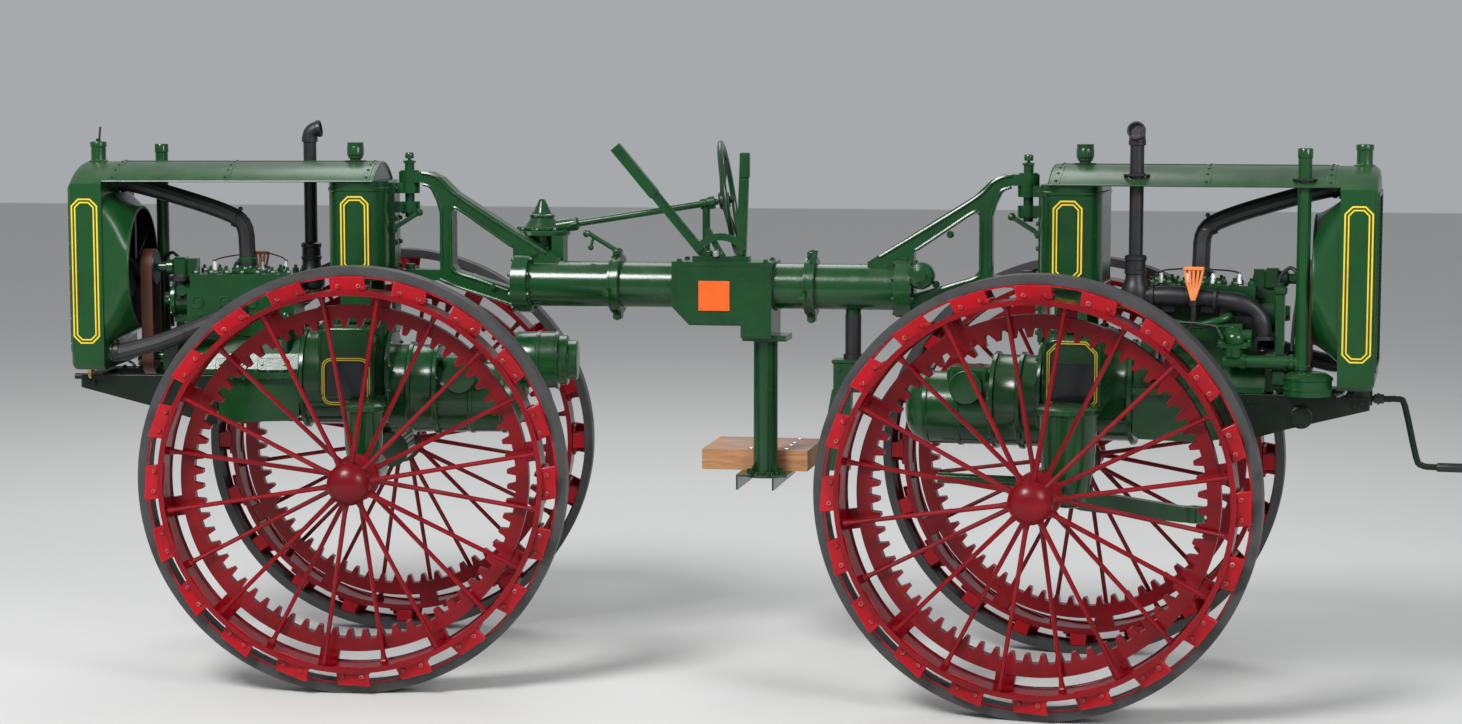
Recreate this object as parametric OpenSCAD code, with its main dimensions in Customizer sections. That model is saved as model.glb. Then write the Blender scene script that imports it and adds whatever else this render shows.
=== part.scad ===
// Tandem farm tractor: two identical two-wheel power units stand tail to tail, hinged to
// a centre tube that carries the operator's platform, the levers and the steering gear.
// Lengths are millimetres, +Z is up and the ground is Z = 0.
// A power unit is drawn in a frame of its own: X forward to its radiator, Y to its left,
// origin on the ground below its axle. The left unit is the same thing turned half round.

/* [Layout] */
// Distance between the two hitch pins
pivot_span = 2074; // [1950:2:2300]
// Distance from a hitch pin forward to its unit's axle
axle_lead = 112; // [100:1:130]
// Swing of the left unit as parked, in degrees
left_swing = 9.1; // [-12:0.1:12]
// Swing of the right unit as parked, in degrees
right_swing = -4.5; // [-8:0.1:8]

/* [Wheels] */
// Radius over the road bands, which is also the axle's height
wheel_r = 685; // [670:1:710]
// Distance between the middle planes of a unit's road bands
track = 1050; // [1030:2:1100]
// Radial thickness of a road band
band_t = 28; // [16:1:32]
// Width of a road band
band_w = 96; // [70:2:110]
// Distance from the road band's outer face in to the steel rim
rim_drop = 73; // [65:1:85]
// Radial thickness of the rim's strip
rim_t = 12; // [8:1:16]
// How far the rim reaches outboard of the band's middle plane
rim_out = 92; // [80:1:100]
// Number of spokes in one wheel
spoke_n = 20; // [16:2:24]
// Diameter of a spoke
spoke_d = 16; // [12:1:20]
// Number of lugs on one wheel
lug_n = 20; // [16:1:22]
// Length of a lug along the rim
lug_len = 118; // [90:2:130]
// Thickness of a lug's plate
lug_t = 12; // [8:1:16]
// Distance from the rim in to the internal drive gear
gear_gap = 52; // [42:1:62]
// Radial depth of the drive gear, teeth and all
gear_depth = 68; // [60:1:80]
// Number of teeth in the drive gear
gear_n = 64; // [48:2:72]
// Radius of the domed hub cap
cap_r = 54; // [48:1:60]

/* [Radiator and hood] */
// Thickness of the radiator, front to back
rad_t = 112; // [100:1:120]
// Width of the radiator
rad_w = 440; // [420:2:480]
// Height of the radiator's underside
rad_z = 1005; // [995:1:1020]
// Height of the radiator's top
rad_top = 1690; // [1685:1:1700]
// Distance from the axle to the radiator's back
rad_x = 878; // [870:1:890]
// Width of the hood over its side edges
hood_w = 420; // [380:2:440]
// Rise of the hood's crown above its side edge
hood_rise = 62; // [50:1:70]
// Thickness of the hood's sheet
hood_t = 6; // [4:0.5:8]
// Diameter of the fan
fan_d = 368; // [340:2:372]
// Diameter of the ring that the fan turns in
ring_d = 406; // [400:2:420]
// Height of the fan's centre
fan_z = 1334; // [1325:1:1345]

/* [Engine] */
// Length of the cylinder block
block_l = 400; // [360:2:420]
// Width of the cylinder block
block_w = 190; // [170:2:210]
// Height of the cylinder block's top
block_top = 1270; // [1255:1:1280]
// Height of the crankshaft
shaft_z = 1030; // [1020:1:1040]
// Diameter of the exhaust pipe
exhaust_d = 44; // [36:1:52]
// Height of the exhaust pipe's mouth
exhaust_top = 1832; // [1790:1:1850]
// Diameter of the radiator hoses
hose_d = 56; // [46:1:60]

/* [Tank] */
// Length of the fuel tank, front to back
tank_l = 196; // [180:2:204]
// Width of the fuel tank
tank_w = 400; // [340:2:420]
// Height of the fuel tank's underside
tank_z = 1300; // [1290:1:1320]

/* [Centre frame] */
// Diameter of the main tube
tube_d = 152; // [140:1:160]
// Height of the main tube's axis
tube_z = 1286; // [1270:1:1300]
// Half the length of the main tube
tube_half = 640; // [620:2:680]
// Height of the top hitch joint
hitch_top = 1650; // [1640:1:1660]
// Height of the bottom hitch joint
hitch_low = 1322; // [1315:1:1330]
// Diameter of a hitch pin
pin_d = 32; // [28:1:36]
// Diameter of the platform's post
post_d = 80; // [70:1:90]
// Height of the platform's top
plank_top = 735; // [720:1:770]
// Thickness of the platform's boards
plank_t = 68; // [40:1:75]
// Radius of the steering wheel
hand_r = 200; // [180:1:205]
// Tilt of the steering column, in degrees
column_rise = 9; // [6:0.5:12]

/* [Hidden] */

$fn = 48;
fit = 0.3;              // clearance where two pieces seat on each other
run = 0.05;             // radial clearance of a turning fit
axle_d = 60;            // stub axle inside the hub
hub_in = 70;            // the hub's reach inboard of the band's middle plane
hub_out = 118;          // the hub's reach outboard, under its cap
half_span = pivot_span / 2;
rim_r = wheel_r - rim_drop;     // outer radius of the steel rim
gear_r = rim_r - gear_gap;      // outer radius of the drive gear
gear_tip_r = gear_r - gear_depth;       // radius at its teeth's tips
hood_z = rad_top - hood_rise;   // height of the hood's side edge
rail_w = 60;            // width of a side rail
rail_y = 120;           // a rail's distance from the unit's middle
engine_x = rad_x - 610; // rear end of the cylinder block
belt_x = rad_x - 128;   // back edge of the fan belt's pulleys
belt_w = 44;            // width of the pulleys
pulley_d = 110;         // diameter of the pulleys
spindle_d = 20;         // diameter of the fan's spindle
fan_x = rad_x - 74;     // back of the fan's hub, ahead of its pulley
tow_hole_d = 22;        // hole in the front cross member and in the drawbar's eye
rail_front = rad_x + 97;        // front end of the side rails
rail_rear = rail_front - 455;   // rear end of the side rails
case_front = engine_x - 22;     // front end of the main gear case
leaf = "#1f5c2f";
dark_leaf = "#174423";
wheel_red = "#a31621";
soot = "#17181a";

// Middle of the parked outline, measured from the tube's middle
outline_mid = [138.63, -17.71];

module at_left() {
    translate([-outline_mid[0] - half_span, -outline_mid[1], 0])
        rotate([0, 0, left_swing]) translate([-axle_lead, 0, 0]) rotate([0, 0, 180]) children();
}

module at_right() {
    translate([-outline_mid[0] + half_span, -outline_mid[1], 0])
        rotate([0, 0, right_swing]) translate([axle_lead, 0, 0]) children();
}

module at_centre() {
    translate([-outline_mid[0], -outline_mid[1], 0]) children();
}

// Round bar from point a to point b
module rod(a, b, d) {
    v = b - a;
    translate(a) rotate([0, acos(v[2] / norm(v)), atan2(v[1], v[0])]) cylinder(h = norm(v), d = d);
}

// Place at t along a smooth curve through the points p, where t runs from 0 to len(p) - 1
function on_curve(p, t) =
    let (last = len(p) - 1, i = min(floor(t), last - 1), u = t - i,
         a = p[max(i - 1, 0)], b = p[i], c = p[i + 1], d = p[min(i + 2, last)])
    b + 0.5 * ((c - a) * u + (2 * a - 5 * b + 4 * c - d) * u * u + (3 * b - a - 3 * c + d) * u * u * u);

// Tube of round section bent along a smooth curve through the points p, which never runs along side
module bent_tube(p, d, sides = 12, steps = 4, side = [0, 1, 0]) {
    n = (len(p) - 1) * steps;
    at = [for (i = [0:n]) on_curve(p, i / steps)];
    last = len(p) - 1;
    way = [for (i = [0:n])
        let (v = i == 0 ? p[1] - p[0] : i == n ? p[last] - p[last - 1] : at[i + 1] - at[i - 1]) v / norm(v)];
    skin = [for (i = [0:n], k = [0:sides - 1])
        let (e = cross(way[i], side), e1 = e / norm(e), e2 = cross(way[i], e1), w = 360 * k / sides)
        at[i] + d / 2 * (e1 * cos(w) + e2 * sin(w))];
    quads = [for (i = [0:n - 1], k = [0:sides - 1])
        let (a = i * sides, b = a + sides, j = (k + 1) % sides) each [[a + k, b + j, a + j], [a + k, b + k, b + j]]];
    polyhedron(skin, concat(quads, [[for (k = [0:sides - 1]) k]],
                            [[for (k = [sides - 1:-1:0]) n * sides + k]]), convexity = 4);
}

// Flat bar from a to b in the XZ plane, centred on its Y
module strap(a, b, wide, tall) {
    v = b - a;
    translate(a) rotate([0, -atan2(v[2], v[0]), 0])
        translate([0, -wide / 2, -tall / 2]) cube([norm(v), wide, tall]);
}

// Block given by its low corner and its high corner
module block(lo, hi) {
    translate(lo) cube(hi - lo);
}

// Flat outline in X and Z given the thickness along Y, centred on Y = 0
module side_plate(t) {
    rotate([90, 0, 0]) translate([0, 0, -t / 2]) linear_extrude(t) children();
}

module round_rect(size, r) {
    square([size[0] - 2 * r, size[1]], center = true);
    square([size[0], size[1] - 2 * r], center = true);
    for (x = [-1, 1], y = [-1, 1])
        translate([x * (size[0] / 2 - r), y * (size[1] / 2 - r)]) circle(r);
}

// Wheels: drawn about Z, with +Z outboard and Z = 0 at the road band's middle plane

module wheel_place(side) {
    translate([0, side * track / 2, wheel_r]) rotate([-90 * side, 0, 0]) children();
}

module ring(r_out, r_in, z0, z1, seg = 96) {
    translate([0, 0, z0]) linear_extrude(z1 - z0) difference() {
        circle(r_out, $fn = seg);
        circle(r_in, $fn = seg);
    }
}

gear_face = -8;         // outboard face of the drive gear

// Teeth of the internal drive gear, as one toothed outline cut out of a ring
module drive_gear(z0, z1) {
    pitch = 360 / gear_n;
    root_r = gear_r - 28;
    teeth = [for (i = [0:gear_n - 1], k = [0, 0.55])
        let (r = k == 0 ? gear_tip_r : root_r) [r * cos((i + k) * pitch), r * sin((i + k) * pitch)]];
    translate([0, 0, z0]) linear_extrude(z1 - z0) difference() {
        circle(gear_r, $fn = 96);
        polygon(teeth);
    }
}

module spokes() {
    for (i = [0:spoke_n - 1]) {
        outer = i % 2 == 0;
        rotate([0, 0, (i + 0.5) * 360 / spoke_n])
            rod([40, 0, outer ? hub_out - 22 : -hub_in + 24],
                [rim_r - rim_t / 2, 0, outer ? rim_out - 26 : gear_face + 28], spoke_d);
    }
}

// radius at the middle of a lug's outer edge, whose corners reach the band's inner face
lug_top = sqrt(pow(wheel_r - band_t - fit, 2) - lug_len * lug_len / 4) - 1;

module lugs() {
    depth = rim_out - band_w / 2 - 4;
    slant = atan2(depth - lug_t, lug_len);
    for (i = [0:lug_n - 1])
        rotate([0, 0, i * 360 / lug_n]) {
            translate([(rim_r + lug_top) / 2 - 2, 0, rim_out - depth / 2])
                rotate([slant, 0, 0])
                    cube([lug_top - rim_r + 4, lug_len * 0.98, lug_t], center = true);
            translate([rim_r - 5, -20, -band_w / 2 + 8])
                cube([wheel_r - band_t - fit - 1 - rim_r + 5, 40, band_w - 16]);
        }
}

// Half outline of the domed hub cap, as one arc over a short skirt
module hub_cap_outline() {
    rise = 30;
    round = (cap_r * cap_r + rise * rise) / (2 * rise);
    intersection() {
        translate([0, 6 + rise - round]) circle(round, $fn = 96);
        square([cap_r, 60]);
    }
}

module wheel() {
    difference() {
        union() {
            ring(rim_r, rim_r - rim_t, -band_w / 2, rim_out);
            drive_gear(-band_w / 2 + 2, gear_face);
            for (i = [0:9]) rotate([0, 0, i * 36 + 9])
                translate([gear_r - 6, -30, -band_w / 2 + 4])
                    cube([rim_r - rim_t - gear_r + 12, 60, gear_face + band_w / 2 - 8]);
            translate([0, 0, -hub_in]) cylinder(r = 46, h = hub_in + hub_out);
            for (z = [-hub_in, hub_out - 44]) translate([0, 0, z]) cylinder(r = 74, h = 44);
            translate([0, 0, hub_out - 1]) rotate_extrude() hub_cap_outline();
            spokes();
            lugs();
        }
        translate([0, 0, -hub_in - 1]) cylinder(d = axle_d + 2 * run, h = hub_in + hub_out - 30);
    }
}

module road_band() {
    ring(wheel_r, wheel_r - band_t, -band_w / 2, band_w / 2, 120);
}

// Power unit

module chassis() {
    for (s = [-1, 1]) translate([0, s * rail_y, 0]) side_plate(rail_w)
        polygon([[rail_front, 980], [rail_front, 940], [rail_front - 255, 872], [rail_front - 415, 822],
                 [rail_rear, 815], [rail_rear, 980]]);
    difference() {
        block([rail_front - 50, -rail_y - rail_w / 2, 943], [rail_front - 1, rail_y + rail_w / 2, 980]);
        translate([rail_front - 25, 50, 900]) cylinder(d = tow_hole_d, h = 200);
    }
}

// Outline in Y and Z carried along X from x0 to x1
module along_x(x0, x1) {
    translate([x0, 0, 0]) rotate([90, 0, 90]) linear_extrude(x1 - x0) children();
}

module engine() {
    front = engine_x + block_l;
    inner = rail_y - rail_w / 2 - fit;
    // cylinder head, block, sloping crankcase and its flange
    block([engine_x + 10, -block_w / 2 + 8, block_top], [front - 50, block_w / 2 - 8, block_top + 44]);
    block([engine_x, -block_w / 2, 1090], [front - 40, block_w / 2, block_top]);
    along_x(engine_x - 20, front - 12) polygon([[-150, 985], [-150, 1002], [-130, 1052], [-100, 1095],
                                                [100, 1095], [130, 1052], [150, 1002], [150, 985]]);
    block([engine_x - 20, -164, 972], [rail_rear - fit, 164, 992]);
    // oil pan, wide behind the rails and narrow between them
    side_plate(284) polygon([[engine_x - 20, 975], [engine_x - 20, 842], [engine_x, 828], [rail_rear - 34, 822],
                             [rail_rear - fit, 840], [rail_rear - fit, 975]]);
    side_plate(2 * inner) polygon([[rail_rear - 10, 986], [rail_rear - 10, 838], [front - 100, 858],
                                   [front - 14, 940], [front - 14, 986]]);
    // front feet on the rails, timing case and the upright bracket beside it
    block([front - 70, -rail_y - 28, 980 + fit], [front - 20, rail_y + 28, 990]);
    block([front - 14, -112, 985], [front + 36, 112, 1100]);
    block([front + 18, -150, 1010], [front + 45, -108, 1312]);
    block([front + 10, -136, 1010], [front + 36, -108, 1060]);
    // crankshaft nose with the belt pulley
    rod([front - 5, 0, shaft_z], [belt_x + 6, 0, shaft_z], 40);
    rod([belt_x, 0, shaft_z], [belt_x + belt_w, 0, shaft_z], pulley_d);
    // water pump and fan bracket
    rod([front - 60, 0, 1225], [front + 26, 0, 1225], 110);
    block([front - 60, -24, 1150], [front + 20, 24, fan_z + 30]);
    rod([front - 20, 0, fan_z], [belt_x - 6, 0, fan_z], 34);
    rod([belt_x - 8, 0, fan_z], [belt_x + belt_w + 20, 0, fan_z], spindle_d);
}

// Side cases of the gear case: side, middle height and height of the cover panel
panels = [[-1, 1030, 212], [1, 972, 142]];

module transmission(with_pulley) {
    pod_mid = case_front - 176;
    // main case, clutch barrel, neck and rear case
    side_plate(300) polygon([[-60, 800], [-60, 1120], [-45, 1120], [-38, 1158], [180, 1158], [200, 1128],
                             [case_front, 1112], [case_front, 900], [200, 850], [176, 800]]);
    side_plate(180) polygon([[-206, 780], [-206, 1094], [-150, 1120], [-50, 1120], [-50, 780]]);
    side_plate(200) polygon([[-500, 806], [-500, 960], [-482, 985], [-330, 1000], [-204, 1048], [-204, 772],
                             [-470, 778]]);
    rod([-206, 0, 950], [-55, 0, 950], 304);
    rod([-288, -136, 982], [-288, 136, 982], 92);
    if (with_pulley) {
        rod([-470, 0, 1022], [-610, 0, 1022], 190);
        rod([-606, 0, 1022], [-644, 0, 1022], 168);
        rod([-640, 0, 1022], [-676, 0, 1022], 132);
    }
    for (p = panels) {
        s = p[0];
        difference() {
            translate([pod_mid, s * 200, 1022]) side_plate(104) round_rect([190, 268], 34);
            translate([pod_mid, s * 252, p[1]]) side_plate(16) round_rect([148, p[2]], 22);
        }
        // drop housing down to the axle, and the final drive's shaft and pinion
        translate([0, s * 330, 0]) side_plate(164)
            polygon([[-42, 944], [164, 944], [156, 840], [120, wheel_r + 31], [66, wheel_r - 49],
                     [-52, wheel_r - 49], [-80, wheel_r + 5], [-62, 820]]);
        rod([0, s * 330, wheel_r], [0, s * (track / 2 - hub_in - 8), wheel_r], 124);
        rod([0, s * 360, wheel_r], [0, s * (track / 2 + hub_out - 34), wheel_r], axle_d);
        rod([62, s * 240, 1112], [62, s * 452, 1112], 52);
        rod([62, s * 450, 1112], [62, s * 494, 1112], 84);
    }
}

core_w = 370;           // width of the radiator's core
core_z = [rad_z + 65, rad_top - 88];  // lowest and highest edge of the core

module radiator() {
    difference() {
        translate([rad_x, 0, (rad_z + rad_top) / 2]) rotate([0, 90, 0]) linear_extrude(rad_t)
            round_rect([rad_top - rad_z, rad_w], 40);
        // the core stands back behind the casing's front
        block([rad_x + rad_t - 14, -core_w / 2, core_z[0]], [rad_x + rad_t + 1, core_w / 2, core_z[1]]);
    }
    // filler neck and its cap
    rod([rad_x + 62, 0, rad_top - 10], [rad_x + 62, 0, rad_top + 40], 58);
    rod([rad_x + 62, 0, rad_top + 40], [rad_x + 62, 0, rad_top + 76], 72);
    // cone of the fan's shroud
    translate([rad_x - 36, 0, fan_z]) rotate([0, 90, 0]) difference() {
        cylinder(d1 = ring_d, d2 = ring_d + 30, h = 37, $fn = 72);
        translate([0, 0, -1]) cylinder(d1 = ring_d - 20, d2 = ring_d + 8, h = 39, $fn = 72);
    }
}

// Ring round the fan, at the small end of the shroud
module fan_ring() {
    translate([rad_x - 84, 0, fan_z]) rotate([0, 90, 0]) difference() {
        cylinder(d = ring_d, h = 48 - fit, $fn = 72);
        translate([0, 0, -1]) cylinder(d = ring_d - 20, h = 50, $fn = 72);
    }
}

stack_at = [engine_x - 16, -150];    // the exhaust pipe's place
air_pipe_at = [rad_x - 110, -172];   // the air pipe's place
air_pipe_d = 42;
air_pipe_top = rad_top + 55;
filler_at = [70, 0];    // the fuel filler's place
filler_d = 38;

module hood() {
    crown = (hood_w * hood_w / 4 + hood_rise * hood_rise) / (2 * hood_rise);
    x0 = -20;
    difference() {
        translate([x0, 0, 0]) rotate([90, 0, 90]) linear_extrude(rad_x - fit - x0) difference() {
            intersection() {
                translate([0, hood_z + hood_rise - crown]) circle(crown, $fn = 120);
                translate([-hood_w / 2, hood_z]) square([hood_w, 100]);
            }
            translate([0, hood_z + hood_rise - crown]) circle(crown - hood_t, $fn = 120);
        }
        translate([stack_at[0], stack_at[1], 1500]) cylinder(d = exhaust_d + 12, h = 300);
        translate([air_pipe_at[0], air_pipe_at[1], 1500]) cylinder(d = air_pipe_d + 6, h = 300);
        translate([filler_at[0], filler_at[1], 1500]) cylinder(d = filler_d + 6, h = 300);
    }
}

tank_x = -55;

module fuel_tank() {
    crown = hood_z + hood_rise;
    translate([tank_x + tank_l / 2, 0, tank_z]) linear_extrude(hood_z - fit - tank_z)
        round_rect([tank_l, tank_w], tank_l / 2 - 2);
    // filler neck through the hood, and its cap
    rod([filler_at[0], filler_at[1], hood_z - 10], [filler_at[0], filler_at[1], crown + 40], filler_d);
    rod([filler_at[0], filler_at[1], crown + 24], [filler_at[0], filler_at[1], crown + 64], filler_d + 16);
}

module exhaust() {
    x = stack_at[0];
    y = stack_at[1];
    axis_z = 1282;
    // upright pipe with its bent mouth and its collar
    rod([x, y, axis_z], [x, y, exhaust_top - 50], exhaust_d);
    bent_tube([[x, y, exhaust_top - 62], [x, y, exhaust_top - 40], [x - 22, y, exhaust_top - 25],
               [x - 44, y, exhaust_top - 22]], exhaust_d, 16);
    rod([x, y, 1350], [x, y, 1410], exhaust_d + 26);
    // manifold that curves down to the front port
    bent_tube([[x - 30, y, axis_z], [engine_x + 92, y, axis_z], [engine_x + 292, y, axis_z - 14],
               [engine_x + 372, y, axis_z - 60], [engine_x + 382, y, axis_z - 132]], 62, 16);
    for (p = [62, 182, 302]) block([engine_x + p, y, 1225], [engine_x + p + 50, -block_w / 2 - fit, 1262]);
}

module intake() {
    x = air_pipe_at[0];
    y = air_pipe_at[1];
    pipe_z = 1085;
    rod([x, y, 1052], [x, y, air_pipe_top], air_pipe_d);
    rod([x, y, pipe_z], [engine_x + 262, y, pipe_z], 40);
    // round air cleaner
    rod([x + 20, y, 985], [x + 20, y, 1040], 148);
    translate([x + 20, y, 1040]) cylinder(d1 = 148, d2 = 96, h = 16);
    // carburettor on its elbow
    block([engine_x + 252, y - 30, 1128], [engine_x + 336, y + 30, 1142]);
    block([engine_x + 270, y - 20, pipe_z], [engine_x + 310, y + 20, 1190]);
    block([engine_x + 262, y, 1150], [engine_x + 318, -block_w / 2 - fit, 1200]);
}

module hoses() {
    head_top = block_top + 44 + fit;
    bent_tube([[rad_x - fit, 20, rad_top - 72], [rad_x - 40, 20, rad_top - 72], [rad_x - 178, 20, rad_top - 108],
               [rad_x - 358, 20, rad_top - 166], [engine_x + 184, 10, rad_top - 210],
               [engine_x + 174, 0, rad_top - 290], [engine_x + 174, 0, head_top]], hose_d);
    bent_tube([[rad_x - fit, 150, 1058], [rad_x - 40, 150, 1058], [rad_x - 178, 150, 1095],
               [engine_x + 292, 150, 1150], [engine_x + 202, 140, 1185], [engine_x + 182, 115, 1190],
               [engine_x + 182, block_w / 2 + fit, 1190]], hose_d, 12, 4, [0, 0, 1]);
}

module fan() {
    difference() {
        union() {
            rod([belt_x, 0, fan_z], [belt_x + belt_w, 0, fan_z], pulley_d);
            rod([belt_x + belt_w - 2, 0, fan_z], [fan_x + 40, 0, fan_z], 76);
        }
        rod([belt_x - 10, 0, fan_z], [belt_x + belt_w + 26, 0, fan_z], spindle_d + 2 * run);
    }
    for (i = [0:5]) translate([fan_x + 24, 0, fan_z]) rotate([i * 60, 0, 0])
        translate([0, 0, 30]) rotate([0, 0, 28])
            translate([-3, -34, 0]) cube([6, 68, fan_d / 2 - 32]);
}

// Flat belt from the crankshaft's pulley up to the fan's
module fan_belt() {
    r1 = pulley_d / 2 + fit;
    thick = 6;
    translate([belt_x + 3, 0, 0]) rotate([90, 0, 90]) linear_extrude(belt_w - 6) difference() {
        union() {
            for (z = [fan_z, shaft_z]) translate([0, z]) circle(r1 + thick);
            translate([-r1 - thick, shaft_z]) square([2 * (r1 + thick), fan_z - shaft_z]);
        }
        for (z = [fan_z, shaft_z]) translate([0, z]) circle(r1);
        translate([-r1, shaft_z]) square([2 * r1, fan_z - shaft_z]);
    }
}

// Tail bracket: two upper ears and a lower one that the hitch pins pass
module hitch() {
    ear = 36;
    back = tank_x - fit;
    difference() {
        union() {
            for (z = [hitch_top - 66, hitch_top - 130, hitch_low - 66]) {
                translate([-axle_lead, 0, z]) cylinder(d = pin_d + 36, h = ear);
                block([-axle_lead, -28, z], [back - 4, 28, z + ear]);
            }
            block([back - 14, -60, 1120 + fit], [back, 60, hitch_top - 66 + ear]);
        }
        translate([-axle_lead, 0, 1100]) cylinder(d = pin_d + 2 * run, h = 700);
    }
}

// Starting crank: its shaft, and its handle where the handle is in place
module starting_crank(with_handle) {
    x = rail_front - 1 + fit;
    z = 962;
    rod([x, 0, z], [x + 62, 0, z], 20);
    if (with_handle)
        bent_tube([[x + 50, 0, z], [x + 84, 0, z], [x + 104, 0, z - 18], [x + 142, 0, z - 180],
                   [x + 160, 0, z - 205], [x + 195, 0, z - 210], [x + 330, 0, z - 210]], 20, 10, 3);
}

// Bar under the main case, hung from one bracket
drawbar_eye = [436, 548, 598];      // the eye's place, lowest and highest edge

module drawbar() {
    rod([-400, 0, 662], [8, 0, 655], 36);
    block([14, -24, 600], [66, 24, 800 - fit]);
    difference() {
        union() {
            side_plate(38) polygon([[-8, 676], [-8, 598], [70, 574], [drawbar_eye[0] - 40, drawbar_eye[1]],
                                    [drawbar_eye[0], drawbar_eye[1]], [drawbar_eye[0], drawbar_eye[2]],
                                    [drawbar_eye[0] - 40, drawbar_eye[2]], [70, 640]]);
            translate([drawbar_eye[0], 0, drawbar_eye[1]])
                cylinder(d = 62, h = drawbar_eye[2] - drawbar_eye[1]);
        }
        translate([drawbar_eye[0], 0, drawbar_eye[1] - 10]) cylinder(d = tow_hole_d, h = 80);
    }
}

// Centre frame, between the two hitch pins

module centre_tube() {
    rod([-tube_half, 0, tube_z], [tube_half, 0, tube_z], tube_d);
    for (s = [-1, 1]) rod([s * (tube_half - 26), 0, tube_z], [s * tube_half, 0, tube_z], tube_d + 44);
}

saddle_top = tube_z + tube_d / 2 + 6;

module saddle() {
    difference() {
        side_plate(tube_d + 30) polygon([[-119, saddle_top], [213, saddle_top], [213, 1120], [111, 1120],
                                         [111, 1160], [-60, 1160], [-119, 1220]]);
        rod([-200, 0, tube_z], [300, 0, tube_z], tube_d + 2 * fit);
    }
    translate([184, 0, 1108]) translate([-73, -60, 0]) cube([146, 120, 20]);
}

// Yoke from the end of the tube to the two hitch eyes; s is -1 at the left end, 1 at the right
module gooseneck(s) {
    eye_low = [hitch_low - 30 + fit, hitch_low + 6 + fit];
    eye_top = [hitch_top - 30 + fit, hitch_top + 6 + fit];
    // outline from the top eye round by the tube, the lower eye and the upright
    outline = [[half_span, eye_top[1]], [960, eye_top[1]], [920, hitch_top - 12], [868, hitch_top - 62],
               [tube_half - 120, 1370], [tube_half - 120, tube_z], [tube_half + 10, tube_z], [tube_half + 10, 1204],
               [861, 1265], [900, 1279], [930, eye_low[0]], [half_span, eye_low[0]],
               [half_span, eye_low[1]], [925, eye_low[1]], [925, 1520], [936, 1558],
               [954, 1596], [984, eye_top[0]], [half_span, eye_top[0]]];
    opening = [[tube_half + 32, 1268], [tube_half + 32, 1403], [868, 1535], [882, 1524], [882, 1345], [866, 1326]];
    difference() {
        union() {
            side_plate(60) difference() {
                polygon([for (p = outline) [s * p[0], p[1]]]);
                polygon([for (p = opening) [s * p[0], p[1]]]);
            }
            for (z = [eye_top[0], eye_low[0]])
                translate([s * half_span, 0, z]) cylinder(d = pin_d + 40, h = 36);
            rod([s * (tube_half + fit), 0, tube_z], [s * (tube_half + 26), 0, tube_z], tube_d + 44);
        }
        rod([0, 0, tube_z], [s * (tube_half - 20), 0, tube_z], tube_d + 2 * fit);
        rod([s * (tube_half - 26 - fit), 0, tube_z], [s * (tube_half + fit), 0, tube_z], tube_d + 46);
    }
    // hitch pins through the two pairs of eyes
    translate([s * half_span, 0, hitch_top - 146]) cylinder(d = pin_d, h = 182);
    translate([s * half_span, 0, hitch_low - 84]) cylinder(d = pin_d, h = 108);
}

module tube_clamps() {
    for (x = [-320, 333]) difference() {
        union() {
            rod([x - 18, 0, tube_z], [x + 18, 0, tube_z], tube_d + 36);
            block([x - 14, -16, tube_z - 113], [x + 14, 16, tube_z + 113]);
        }
        rod([x - 40, 0, tube_z], [x + 40, 0, tube_z], tube_d + 2 * fit);
    }
    // locking lever on the left clamp
    rod([-312, 0, tube_z + 104], [-418, 0, tube_z + 167], 16);
}

// Round post under the tube with a tapered foot lever below its bracket
module foot_lever() {
    x = tube_half - 170;
    difference() {
        rod([x, 0, 1030], [x, 0, 1250], 50);
        rod([x - 70, 0, tube_z], [x + 70, 0, tube_z], tube_d + 2 * fit);
    }
    block([x - 60, -38, 943], [x + 41, 38, 1042]);
    side_plate(50) polygon([[x - 66, 950], [x - 3, 950], [x - 9, 682], [x - 115, 682]]);
}

post_x = 179;           // the post's place along the tube
plank_z = plank_top - plank_t;
plank_y = post_d / 2 + 6;

module platform_post() {
    rod([post_x, 0, plank_z - fit], [post_x, 0, 1108 - fit], post_d);
    rod([post_x, 0, plank_z - fit - 10], [post_x, 0, plank_z - fit], post_d + 64);
    // two angle irons under the foot and the boards
    for (x = [post_x - 62, post_x + 58]) {
        block([x - 25, -70, plank_z - fit - 6], [x + 25, plank_y + 330, plank_z - fit]);
        block([x - 25, -70, plank_z - fit - 50], [x - 19, plank_y + 330, plank_z - fit]);
    }
}

module platform() {
    for (i = [0:1])
        block([-45, plank_y + i * 170.5, plank_z], [312, plank_y + i * 170.5 + 170, plank_top]);
}

gear_at = [-611, 124];              // the steering gear's place
hand_wheel_at = [20, 200, 1562];    // middle of the steering wheel's rim
column_turn = atan2(hand_wheel_at[1] - gear_at[1], hand_wheel_at[0] - gear_at[0]);
column_l = norm([hand_wheel_at[0] - gear_at[0], hand_wheel_at[1] - gear_at[1]]) / cos(column_rise);
gear_flange = 184;                  // diameter of the steering gear's flange
bracket_at = [-58, 189];            // the column bracket's place
hub_low = -36;                      // the steering wheel hub's lower end, along the column

module at_column() {
    translate(hand_wheel_at) rotate([0, 90 - column_rise, column_turn]) children();
}

module steering_gear() {
    x = gear_at[0];
    y = gear_at[1];
    // worm box, flange and domed lid, and the boss where the column enters
    rod([x, y, 1388], [x, y, 1450], 124);
    rod([x, y, 1440], [x, y, 1458], gear_flange);
    translate([x, y, 1458]) cylinder(d1 = 130, d2 = 76, h = 44);
    translate([x, y, 1502]) cylinder(d1 = 76, d2 = 22, h = 56);
    at_column() translate([0, 0, -column_l + 20]) cylinder(d = 46, h = 92);
    // arm to the yoke's side and leg down to the tube
    block([x - 45, 30 + fit, 1388], [x + 45, y, 1404]);
    difference() {
        block([x + 56, 31, 1320], [x + 96, 92, 1442]);
        rod([x, 0, tube_z], [x + 200, 0, tube_z], tube_d + 2 * fit);
    }
}

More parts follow.
